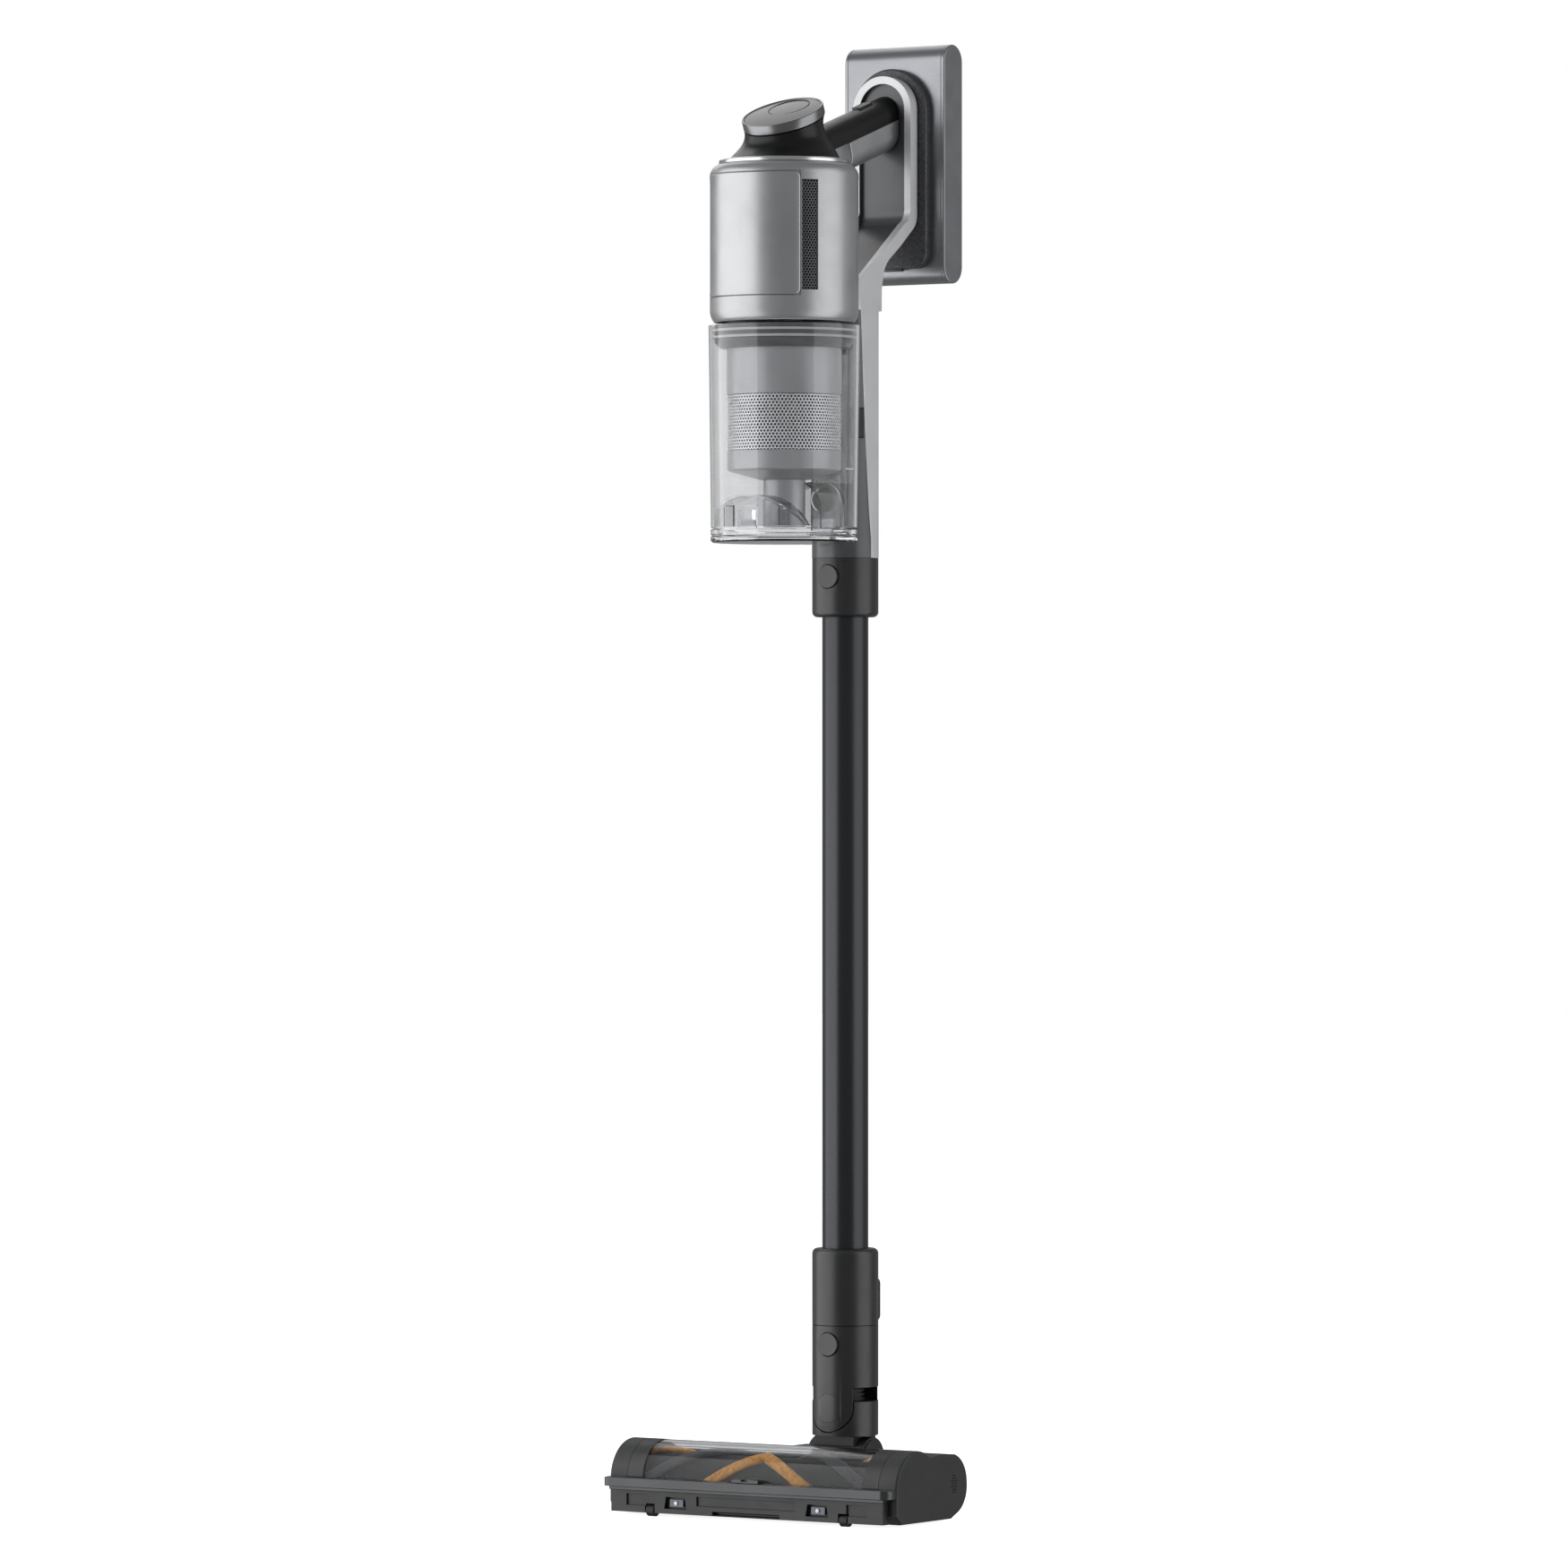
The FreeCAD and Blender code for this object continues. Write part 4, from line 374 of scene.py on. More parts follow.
# The same paint on the removable panel, a shade darker.
PANEL_PAINT = Finish("metallic_painted_panel", "#a2a3a5", "#acadaf", 0.36, 0.7, 3.0, metallic=0.82, coat=0.25,
                     coat_roughness=0.16)
# The same paint on the spine's casting, with a darker painted shade in its channel and on the duct's front.
CASTING_PAINT_AND_SHADE = ShadedCastingFinish("painted_casting_with_painted_shade", "#cbccce", "#d2d3d5", 0.36, 0.7, 3.0, metallic=0.3,
                              coat=0.25, coat_roughness=0.12)
# The battery's case and end caps: the same paint, darkened throughout as painted shade.
SHADED_PACK_PAINT = Finish("metallic_painted_case_with_painted_shade", "#85868a", "#8f9094", 0.34, 0.7, 3.0, metallic=0.82, coat=0.25,
                    coat_roughness=0.18)
# Satin anodised aluminium ring, turned: finer and brighter than the paint.
TURNED_RING = Finish("turned_anodised_aluminium", "#c9cacc", "#d2d3d5", 0.24, 0.3, 1.5, metallic=1.0)
# The display's rim: brushed and dyed a darker grey.
DYED_RIM = Finish("dyed_anodised_aluminium", "#7b7c7e", "#858688", 0.3, 0.4, 1.5, metallic=1.0)
# Smoked acrylic over the display: black with sharp, dim reflections.
SMOKED_ACRYLIC = Finish("smoked_acrylic", "#2a2b2d", "#303133", 0.2, 3.0, 0.6, ior=1.4, wear=0.02)
# Soft-touch black coating on the neck and the top of the grip.
SOFT_TOUCH = Finish("soft_touch_black", "#0b0c0d", "#101112", 0.34, 0.5, 3.0, ior=1.36)
# Spark-eroded ABS of the battery's boss: coarse enough to glitter.
SPARK_ERODED = Finish("spark_eroded_abs", "#343537", "#58595b", 0.5, 0.9, 35.0, metallic=0.3, tone_mm=2.0)
# Black anodised aluminium tube, drawn lengthwise: the grain runs up the wand.
DRAWN_TUBE = Finish("black_anodised_tube", "#3a3b3d", "#404143", 0.3, 0.5, 2.5, metallic=0.9,
                    stretch=(1.0, 1.0, 0.08))
# Fine-textured glass-filled nylon of collars, sockets and neck.
FINE_NYLON = Finish("fine_textured_nylon", "#1b1c1e", "#202123", 0.36, 0.5, 5.0, ior=1.55)
# The same nylon, polished on the buttons and pins.
BUTTON_NYLON = Finish("polished_nylon", "#232426", "#28292b", 0.3, 0.5, 3.0, ior=1.55)
# Clear polycarbonate, injection moulded: a slight waviness and almost no tint.
CLEAR_PC = ClearFinish("clear_polycarbonate", "#dcddde", "#e2e3e4", 0.01, 25.0, 4.0, ior=1.36,
                       transmission=1.0, wear=0.01)
# Lightly smoked polycarbonate of the roller cover.
SMOKED_PC = ClearFinish("smoked_polycarbonate", "#d6d7d9", "#dbdcde", 0.01, 25.0, 2.0, ior=1.24,
                        transmission=1.0, wear=0.01)
# Silver paint on the cyclone, flatter than the housing's.
SILVER_PAINT = Finish("silver_painted_abs", "#88898b", "#909193", 0.38, 0.6, 3.0, metallic=0.85)
# Etched stainless sheet of the cyclone's screen.
ETCHED_STEEL = Finish("etched_stainless", "#b4b5b7", "#c2c3c5", 0.28, 0.4, 2.0, metallic=1.0,
                      stretch=(1.0, 1.0, 6.0))
# Black-oxided sheet of the vents, pierced with hexagons.
VENT_STEEL = Finish("black_etched_sheet", "#6f7072", "#7b7c7e", 0.3, 0.4, 2.0, metallic=0.9)
# Plain moulded ABS of the parts inside.
DARK_ABS = Finish("dark_grey_abs", "#3a3b3d", "#424345", 0.4, 0.6, 4.0)
# Black sheet behind the vent and screen holes, painted shade that makes them read dark; it also draws the
# display screen's black edge line.
DARK_LINE_AND_SHADE_SHEET = Finish("black_line_and_painted_shade_sheet", "#08090a", "#0d0e0f", 0.9, 1.5, 60.0)
# Grey silicone lip seals: smooth and faintly bright.
SILICONE = Finish("grey_silicone", "#a5a6a8", "#aeafb1", 0.35, 1.0, 3.0, ior=1.42)
# Moulded rubber of tyres, belt, hose and gasket: dull.
RUBBER = Finish("black_rubber", "#0e0f10", "#151617", 0.6, 0.8, 12.0, ior=1.5)
# Steel ground along X, for pins, bearings and motors.
STEEL = Finish("ground_steel", "#a7a8aa", "#b5b6b8", 0.3, 0.3, 2.0, metallic=1.0, stretch=(12.0, 1.0, 1.0))
# Aluminium with fine tool marks, on the rotor and the pulley.
MACHINED = Finish("machined_aluminium", "#c2c3c5", "#cdced0", 0.28, 0.4, 3.0, metallic=1.0)
# Needled filter felt: pale and fuzzy.
FELT = Finish("filter_felt", "#cfcec8", "#dddcd6", 0.95, 1.2, 90.0, sheen=0.4)
# Blue film shrunk round the cells: smooth and glossy.
SHRINK_WRAP = Finish("shrink_wrap", "#24527a", "#2b5c87", 0.3, 2.0, 4.0)
# Moulded ABS of the floor head: flat dark grey with a fine spark texture.
HEAD_ABS = Finish("textured_head_abs", "#1a1b1c", "#1f2021", 0.46, 0.6, 9.0)
# The end caps' ABS: flatter and a shade lighter.
CAP_ABS = Finish("end_cap_abs", "#242526", "#292a2b", 0.55, 0.6, 8.0)
# Satin paint with a little metal in it, on the lip over the roller.
LIP_PAINT = Finish("satin_lip_paint", "#3c3d3f", "#444547", 0.3, 0.5, 3.0, metallic=0.55, coat=0.2)
# Blue-grey window in front of the light-emitting domes: glossy.
WINDOW_PC = Finish("tinted_window", "#3c4a58", "#465564", 0.12, 6.0, 3.0, coat=0.5)
# Lens of a light-emitting diode, switched off: nearly white.
LED_PHOSPHOR = Finish("led_dome", "#f4f6ff", "#ffffff", 0.2, 2.0, 2.0)
# Woven pile: the tufts stand on end, drawn a little coarser than their 0.3 mm so that they show.
GOLD_PILE = Finish("gold_woven_pile", "#a4681a", "#e8a63c", 0.75, 0.7, 120.0, tone_mm=1.4, sheen=0.2,
                   stretch=(1.0, 0.35, 0.35), wear=0.1)
GREY_PILE = Finish("grey_woven_pile", "#2a2a2b", "#434345", 0.8, 0.7, 120.0, tone_mm=1.4, sheen=0.1,
                   stretch=(1.0, 0.35, 0.35), wear=0.1)
# Short dark felt between the strips.
CORE_PILE = Finish("felted_roller_core", "#0e0e0f", "#191919", 0.85, 0.8, 40.0, tone_mm=3.0)
# Pad-printed white ink: thin and matt.
PRINT = Finish("pad_print_white", "#dfe0e2", "#e6e7e9", 0.5, 1.0, 1.0)


# ------------------------------------------------------------------ making meshes
# Vertices nearer than this, in millimetres, are one.
JOIN = 0.001


class Work:
    """A mesh under the tools: a bmesh in millimetres that becomes one named piece."""

    def __init__(self, name: str) -> None:
        """Start an empty mesh.

        Args:
            name: Name of the finished piece.
        """
        self.name = name
        self.bm = bmesh.new()

    def everything(self) -> list[bmesh.types.BMVert | bmesh.types.BMEdge | bmesh.types.BMFace]:
        """All that is drawn so far."""
        return self.bm.verts[:] + self.bm.edges[:] + self.bm.faces[:]

    def outline(self, points: list[tuple], place: Matrix, close: bool = False, steps: int = 12) -> "Work":
        """Draw an outline as wire: (x, z) is a corner, ((x, z), (x, z)) an arc's middle and end.

        Args:
            points: The corners and arcs in the drawing plane.
            place: Matrix that puts the drawing plane (X, 0, Z) in place.
            close: Whether the last point joins the first.
            steps: Edges in each arc.

        Returns:
            This work.
        """
        flat = []
        for point in points:
            if isinstance(point[0], tuple):
                flat += arc_points(flat[-1], point[0], point[1], steps)
            else:
                flat.append(point)
        verts = [self.bm.verts.new(place @ Vector((x, 0, z))) for x, z in flat]
        pairs = zip(verts, verts[1:] + verts[:1] if close else verts[1:])
        for first, second in pairs:
            self.bm.edges.new((first, second))
        return self

    def spin(self, centre: Vector, axis: Vector | tuple, steps: int, degrees: float = 360.0,
             drift: Vector = Vector((0, 0, 0))) -> "Work":
        """Spin what is drawn about an axis.

        Args:
            centre: Point on the axis.
            axis: Direction of the axis.
            steps: Number of steps.
            degrees: How far it turns.
            drift: Way along the axis in all, which makes a helix.

        Returns:
            This work.
        """
        bmesh.ops.spin(self.bm, geom=self.everything(), cent=centre, axis=axis, angle=math.radians(degrees),
                       steps=steps, dvec=drift / steps, use_merge=degrees == 360.0)
        bmesh.ops.remove_doubles(self.bm, verts=self.bm.verts, dist=JOIN)
        return self

    def extrude(self, way: Vector) -> "Work":
        """Fill the outline and draw it out into a solid.

        Args:
            way: Direction and length of the pull.

        Returns:
            This work.
        """
        face = bmesh.ops.contextual_create(self.bm, geom=self.bm.edges[:])["faces"]
        out = bmesh.ops.extrude_face_region(self.bm, geom=face, use_keep_orig=True)["geom"]
        verts = [item for item in out if isinstance(item, bmesh.types.BMVert)]
        bmesh.ops.translate(self.bm, vec=way, verts=verts)
        return self

    def bevel(self, width: float, segments: int, keep: Callable[[bmesh.types.BMEdge], bool]) -> "Work":
        """Round some edges.

        Args:
            width: Width of the rounding.
            segments: Steps in the rounding.
            keep: Tells whether an edge is rounded.

        Returns:
            This work.
        """
        edges = [edge for edge in self.bm.edges if keep(edge)]
        bmesh.ops.bevel(self.bm, geom=edges, offset=width, offset_type="OFFSET", segments=segments,
                        profile=0.5, affect="EDGES", clamp_overlap=True, material=-1)
        return self

    def slice(self, axis: int, step: float) -> "Work":
        """Cut the mesh across an axis, so that it can bend.

        Args:
            axis: 0, 1 or 2 for X, Y or Z.
            step: Longest distance between two cuts.

        Returns:
            This work.
        """
        values = [vert.co[axis] for vert in self.bm.verts]
        low, high = min(values), max(values)
        normal = Vector((0, 0, 0))
        normal[axis] = 1.0
        bands = math.ceil((high - low) / step)
        for index in range(1, bands):
            spot = normal * (low + (high - low) * index / bands)
            bmesh.ops.bisect_plane(self.bm, geom=self.everything(), plane_co=spot, plane_no=normal, dist=JOIN)
        return self

    def wrap(self, axis_y: float, radius: float) -> "Work":
        """Bend a flat sheet round the upright bin axis.

        Args:
            axis_y: Where the axis stands.
            radius: Radius of the surface; a vertex's Y is its height over it.

        Returns:
            This work.
        """
        for vert in self.bm.verts:
            angle = vert.co.x / radius
            out = radius + vert.co.y
            vert.co = Vector((out * math.sin(angle), axis_y - out * math.cos(angle), vert.co.z))
        return self

    def move(self, matrix: Matrix) -> "Work":
        """Place everything drawn so far."""
        bmesh.ops.transform(self.bm, matrix=matrix, verts=self.bm.verts)
        return self

    def repeat(self, step: Vector, count: int) -> "Work":
        """Copy what is drawn, count times in all, a step apart."""
        bmesh.ops.spin(self.bm, geom=self.everything(), cent=(0, 0, 0), axis=(0, 0, 1), angle=0.0, dvec=step,
                       steps=count - 1, use_duplicate=True)
        return self

    def panel(self, width: float, height: float) -> "Work":
        """Lay one flat rectangle in the X-Z plane, centred on the origin."""
        stand = Matrix.Rotation(math.radians(90), 4, "X") @ Matrix.Diagonal((width / 2, height / 2, 1, 1))
        bmesh.ops.create_grid(self.bm, x_segments=1, y_segments=1, size=1.0, matrix=stand)
        return self

    def trim(self, width: float, height: float) -> "Work":
        """Cut a flat sheet in the X-Z plane down to a rectangle about the origin.

        Args:
            width: Size along X.
            height: Size along Z.

        Returns:
            This work.
        """
        for axis, half in ((0, width / 2), (2, height / 2)):
            for side in (-1, 1):
                normal = Vector((0, 0, 0))
                normal[axis] = side
                bmesh.ops.bisect_plane(self.bm, geom=self.everything(), plane_co=normal * half,
                                       plane_no=normal, clear_outer=True, dist=JOIN)
        return self

    def thicken(self, thickness: float) -> "Work":
        """Give a sheet its thickness."""
        bmesh.ops.solidify(self.bm, geom=self.bm.faces[:], thickness=thickness)
        return self

    def cap(self) -> "Work":
        """Close open ends."""
        rims = [edge for edge in self.bm.edges if edge.is_boundary]
        bmesh.ops.holes_fill(self.bm, edges=rims, sides=0)
        return self

    def pour_into(self, other: "Work") -> None:
        """Add this mesh to another work, which ends this one.

        Args:
            other: Work that takes the mesh.
        """
        mesh = bpy.data.meshes.new("passing")
        self.bm.to_mesh(mesh)
        self.bm.free()
        other.bm.from_mesh(mesh)
        bpy.data.meshes.remove(mesh)

    def mirrored(self) -> "Work":
        """Add the twin across the middle plane.

        Returns:
            This work.
        """
        twin = bmesh.ops.duplicate(self.bm, geom=self.everything())["geom"]
        verts = [item for item in twin if isinstance(item, bmesh.types.BMVert)]
        faces = [item for item in twin if isinstance(item, bmesh.types.BMFace)]
        bmesh.ops.scale(self.bm, vec=(-1, 1, 1), verts=verts)
        bmesh.ops.reverse_faces(self.bm, faces=faces)
        return self

    def done(self, body: Body, finish: Finish, slot: str, *stands_for: str) -> None:
        """Turn the work into a piece in metres that rides on its body.

        Args:
            body: Body that the piece moves with.
            finish: Its surface.
            slot: The record's material slot; not used.
            stands_for: Frame nodes that it is shown instead of.
        """
        bmesh.ops.recalc_face_normals(self.bm, faces=self.bm.faces)
        for face in self.bm.faces:
            face.smooth = True
        bmesh.ops.scale(self.bm, vec=(MM, MM, MM), verts=self.bm.verts)
        mesh = bpy.data.meshes.new(self.name)
        self.bm.to_mesh(mesh)
        self.bm.free()
        mesh.materials.append(finish.material())
        piece = bpy.data.objects.new(self.name, mesh)
        bpy.context.scene.collection.objects.link(piece)
        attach(piece, body.value)
        if stands_for:
            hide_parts(*stands_for)
        LOG.info("%s: %d faces on %s", self.name, len(mesh.polygons), body.value)


def arc_points(start: tuple, middle: tuple, end: tuple, steps: int) -> list[tuple]:
    """Find points on the circle through three points.

    Args:
        start: Where the arc starts; it isn't repeated.
        middle: A point on the way.
        end: Where the arc ends, the last point given.
        steps: Number of points.

    Returns:
        The points after start, up to and with end.
    """
    (ax, az), (bx, bz), (cx, cz) = start, middle, end
    twice_area = 2 * (ax * (bz - cz) + bx * (cz - az) + cx * (az - bz))
    a2, b2, c2 = ax * ax + az * az, bx * bx + bz * bz, cx * cx + cz * cz
    mid_x = (a2 * (bz - cz) + b2 * (cz - az) + c2 * (az - bz)) / twice_area
    mid_z = (a2 * (cx - bx) + b2 * (ax - cx) + c2 * (bx - ax)) / twice_area
    first, last = math.atan2(az - mid_z, ax - mid_x), math.atan2(cz - mid_z, cx - mid_x)
    turn = math.copysign(1.0, (bx - ax) * (cz - bz) - (bz - az) * (cx - bx))
    sweep = (last - first) % math.tau if turn > 0 else -((first - last) % math.tau)
    radius = math.hypot(ax - mid_x, az - mid_z)
    angles = [first + sweep * k / steps for k in range(1, steps + 1)]
    return [(mid_x + radius * math.cos(angle), mid_z + radius * math.sin(angle)) for angle in angles]


# Corners of a node's loose triangles nearer than this, in millimetres, are welded.
WELD = 0.01
# Neighbouring triangles that lean less than this many degrees are one flat.
FLAT_ANGLE = 0.6
# Edges sharper than this many degrees are rounded, in this many steps.
SHARP_ANGLE = 35.0
EDGE_STEPS = 3


def dress(node: str, finish: Finish, edge: Edge) -> None:
    """Give a frame node its surface, and modifiers that soften its sharp edges and even out its shading.

    Args:
        node: Name of the node.
        finish: Its surface.
        edge: How far its sharp edges are rounded.
    """
    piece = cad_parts[node]
    piece.data.materials.clear()
    piece.data.materials.append(finish.material())
    piece.visible_shadow = not finish.transmission
    if edge is Edge.NONE:
        return
    weld = piece.modifiers.new("weld", "WELD")
    weld.merge_threshold = WELD * MM
    flats = piece.modifiers.new("flats", "DECIMATE")
    flats.decimate_type = "DISSOLVE"
    flats.angle_limit = math.radians(FLAT_ANGLE)
    bevel = piece.modifiers.new("edges", "BEVEL")
    bevel.width = edge.value * MM
    bevel.segments = EDGE_STEPS
    bevel.limit_method = "ANGLE"
    bevel.angle_limit = math.radians(SHARP_ANGLE)
    piece.modifiers.new("shading", "WEIGHTED_NORMAL")


# ------------------------------------------------------------------ sub-assemblies
class SubAssembly:
    """A part of the vacuum: frame nodes with their finishes, and new pieces that it builds."""

    surfaces: ClassVar[dict[str, tuple[Finish, Edge]]] = {}

    def build(self) -> None:
        """Dress the frame nodes, then make the new pieces."""
        for node, (finish, edge) in self.surfaces.items():
            dress(node, finish, edge)
        LOG.info("%s: %d frame nodes dressed", type(self).__name__, len(self.surfaces))
        self.make()

    def make(self) -> None:
        """Make the new pieces; a sub-assembly of frame nodes alone has none."""


def hexagon_sheet(work: Work, width: float, height: float, pitch: float, web: float) -> Work:
    """Tile a flat sheet with holes, centred on the origin in the X-Z plane.

    Args:
        work: Work that takes the sheet.
        width: Size along X.
        height: Size along Z.
        pitch: Distance from hole to hole.
        web: Metal left between two holes.

    Returns:
        The work.
    """
    stand = Matrix.Rotation(math.radians(90), 4, "X")
    across, up = pitch, pitch * math.sqrt(3)
    columns, rows = math.ceil(width / across) + 1, math.ceil(height / up) + 1
    corner = Vector((-columns * across / 2, 0, -rows * up / 2))
    for shift in (Vector((0, 0, 0)), Vector((across / 2, 0, up / 2))):
        made = bmesh.ops.create_circle(work.bm, cap_ends=True, segments=6, radius=pitch / math.sqrt(3),
                                       matrix=Matrix.Translation(corner + shift) @ stand)
        cell = list({face for vert in made["verts"] for face in vert.link_faces})
        bmesh.ops.inset_individual(work.bm, faces=cell, thickness=web / 2)
        bmesh.ops.delete(work.bm, geom=cell, context="FACES_ONLY")
    work.repeat(Vector((across, 0, 0)), columns).repeat(Vector((0, 0, up)), rows)
    bmesh.ops.remove_doubles(work.bm, verts=work.bm.verts, dist=10 * JOIN)
    return work


@dataclass
class MotorUnit(SubAssembly):
    """Motor housing with its front panel and perforated vents."""

    surfaces: ClassVar = {
        "motor_housing": (FLAKE_PAINT, Edge.SOFT),
        "air_filters": (FELT, Edge.NONE),
        "motor_bulkhead": (DARK_ABS, Edge.NONE),
        "motor_stator": (STEEL, Edge.NONE),
        "motor_rotor": (MACHINED, Edge.NONE),
        "duct_gasket": (RUBBER, Edge.NONE),
        "bin_release_button": (BUTTON_NYLON, Edge.FINE),
    }
    housing: Extent = box_of("motor_housing")
    grille: Extent = box_of("vent_grilles")
    cup: Extent = box_of("bin_cup")
    vent_from: float = 46.8
    vent_to: float = 59.8
    hole_pitch: float = 2.3
    hole_web: float = 0.45
    sheet: float = 0.35
    sheet_sunk: float = 0.2
    painted_shade_depth: float = 1.5
    cover: Extent = box_of("front_cover")
    cover_half_angle: float = 45.6
    cover_proud: float = 0.7
    cover_thick: float = 2.6
    cover_corner: float = 5.0
    cover_round: float = 1.3
    bend_step: float = 1.5

    def make(self) -> None:
        """Press the front panel, perforate the vents and put a black sheet of painted shade behind them."""
        self.front_panel()
        self.vents()

    def front_panel(self) -> None:
        """Draw the panel flat with round corners and edges, then bend it to the housing."""
        radius = self.housing.size.x / 2
        half = math.radians(self.cover_half_angle) * radius
        corner, bottom, top = self.cover_corner, self.cover.low.z, self.cover.high.z
        # The middle of a quarter round lies this far in from its corner, both ways.
        near = corner * (1 - math.sqrt(0.5))
        points = [(-half + corner, bottom), (half - corner, bottom),
                  ((half - near, bottom + near), (half, bottom + corner)), (half, top - corner),
                  ((half - near, top - near), (half - corner, top)), (-half + corner, top),
                  ((-half + near, top - near), (-half, top - corner)), (-half, bottom + corner),
                  ((-half + near, bottom + near), (-half + corner, bottom))]
        panel = Work("front_panel").outline(points, Matrix.Identity(4), close=True, steps=8)
        bmesh.ops.remove_doubles(panel.bm, verts=panel.bm.verts, dist=10 * JOIN)
        panel.extrude(Vector((0, self.cover_thick, 0)))
        panel.bevel(self.cover_round, 4, self.is_outer_rim)
        panel.move(Matrix.Translation((0, self.cover_proud - self.cover_thick, 0)))
        panel.slice(0, self.bend_step).wrap(self.cup.centre.y, radius)
        panel.done(Body.MAIN, PANEL_PAINT, "grey_cover", "front_cover")

    def is_outer_rim(self, edge: bmesh.types.BMEdge) -> bool:
        """Whether an edge of the flat panel runs round its outer face."""
        outer = all(vert.co.y > self.cover_thick - 10 * JOIN for vert in edge.verts)
        return outer and len(edge.link_faces) == 2 and edge.calc_face_angle(0.0) > 1.0

    def vents(self) -> None:
        """Make both perforated plates and the black sheet of painted shade behind them, bent to the housing's
        round.
        """
        axis_y = self.cup.centre.y
        radius = self.grille.high.x / math.sin(math.radians(self.vent_to)) - self.sheet_sunk
        middle = math.radians((self.vent_to + self.vent_from) / 2)
        width = math.radians(self.vent_to - self.vent_from) * radius
        height = self.grille.size.z
        turn = Matrix.Translation((middle * radius, 0, self.grille.centre.z))
        plate = hexagon_sheet(Work("vent_plates"), width, height, self.hole_pitch, self.hole_web)
        plate.trim(width, height).thicken(self.sheet).move(turn)
        plate.wrap(axis_y, radius).mirrored()
        plate.done(Body.MAIN, VENT_STEEL, "grille_black", "vent_grilles")
        # Painted shade: a black sheet behind the holes, so that they read dark.
        painted_shade_sheet = Work("vent_painted_shade_sheet").panel(width, height).slice(0, self.bend_step)
        painted_shade_sheet.move(turn @ Matrix.Translation((0, -self.painted_shade_depth, 0)))
        painted_shade_sheet.wrap(axis_y, radius).mirrored()
        painted_shade_sheet.done(Body.MAIN, DARK_LINE_AND_SHADE_SHEET, "grille_black", "vent_grilles")


@dataclass
class Display(SubAssembly):
    """Sloping display: domed smoked window over a round screen, dark rim, and the bright ring below."""

    surfaces: ClassVar = {
        "display_neck": (SOFT_TOUCH, Edge.NONE),
        "power_button": (BUTTON_NYLON, Edge.FINE),
    }
    glass: Extent = box_of("display_glass")
    slope: float = 24.0
    dome: float = 0.5
    edge: float = 0.6
    window_depth: float = 2.2
    screen_radius: float = 16.0
    screen_offset: float = 10.0
    line: float = 0.5
    line_sunk: float = 0.7
    line_proud: float = 0.05
    cup: Extent = box_of("bin_cup")
    rim_radius: float = 31.3
    rim_height: float = 7.5
    rim_wall: float = 2.2
    rim_seat: float = 1.6
    rim_dip: float = 0.2
    ring_radius: float = 49.0
    ring_base: float = 1014.0
    ring_height: float = 3.4
    ring_wall: float = 5.0

    def make(self) -> None:
        """Turn the window, the screen's edge, the rim and the top ring."""
        radius = self.glass.size.x / 2
        tilt = Matrix.Rotation(math.radians(self.slope), 4, "X")
        top = self.glass.centre + tilt @ Vector((0, 0, self.rise(radius)))
        place = Matrix.Translation(top) @ tilt
        axis = tilt @ Vector((0, 0, 1))
        window = Work("display_window")
        dome, edge, near = self.dome, self.edge, 0.3 * self.edge
        window.outline([(0, 0), (radius - edge, -dome),
                        ((radius - near, -dome - near), (radius, -dome - edge)),
                        (radius, -self.window_depth), (0, -self.window_depth)], place, steps=6)
        window.spin(top, axis, 128).done(Body.MAIN, SMOKED_ACRYLIC, "black_gloss", "display_glass")
        centre = place @ Vector((0, self.screen_offset, 0))
        ring = Work("screen_edge")
        inner, outer = self.screen_radius - self.line, self.screen_radius
        drop = -self.dome * self.screen_offset / radius
        under, over = drop - self.line_sunk, drop + self.line_proud
        ring.outline([(inner, under), (inner, over), (outer, over), (outer, under)],
                     Matrix.Translation(centre) @ tilt, close=True)
        ring.spin(centre, axis, 96).done(Body.MAIN, DARK_LINE_AND_SHADE_SHEET, "black_gloss", "display_glass")
        self.rings(place, axis)

    def rings(self, place: Matrix, axis: Vector) -> None:
        """Turn the display's dark rim and the bright ring under the neck; both have rounded corners.

        Args:
            place: Matrix that puts the window's middle in place.
            axis: Direction square to the window.
        """
        radius, low = self.rim_radius, -self.rim_height
        inside, seat = radius - self.rim_wall, self.rim_seat
        rim = Work("display_rim")
        rim.outline([(inside, low), (radius - 0.4, low), ((radius - 0.1, low + 0.1), (radius, low + 0.4)),
                     (radius, -0.8), ((radius - 0.25, -0.25), (radius - 0.8, 0)),
                     (radius - seat, -self.rim_dip), (radius - seat, -seat), (inside, -seat)],
                    place, close=True, steps=4)
        rim.spin(place.translation, axis, 128).done(Body.MAIN, DYED_RIM, "bright_trim", "trim_rings")
        centre = Vector((0, self.cup.centre.y, 0))
        base, top, out = self.ring_base, self.ring_base + self.ring_height, self.ring_radius
        inside = out - self.ring_wall
        ring = Work("top_ring")
        ring.outline([(inside, base), (out - 0.6, base), ((out - 0.15, base + 0.2), (out, base + 0.8)),
                      (out, top - 1.4), ((out - 0.4, top - 0.4), (out - 1.4, top)), (inside, top)],
                     Matrix.Translation(centre), close=True, steps=5)
        ring.spin(centre, (0, 0, 1), 144).done(Body.MAIN, TURNED_RING, "bright_trim", "trim_rings")

    def rise(self, radius: float) -> float:
        """Find how high the window's top is over the middle of its box, along the slope's normal.

        Args:
            radius: Radius of the window.

        Returns:
            The height in millimetres.
        """
        lean = math.radians(self.slope)
        return (self.glass.size.z / 2 - radius * math.sin(lean)) / math.cos(lean)


@dataclass
class Handle(SubAssembly):
    """Spine with the arch rim, and the grip in two shells."""

    surfaces: ClassVar = {
        # The spine's paint carries painted shade in its channel and on the duct's front.
        "handle_frame": (CASTING_PAINT_AND_SHADE, Edge.SOFT),
        "grip_cover": (SOFT_TOUCH, Edge.SOFT),
        "grip_shell": (FLAKE_PAINT, Edge.ROUND),
    }


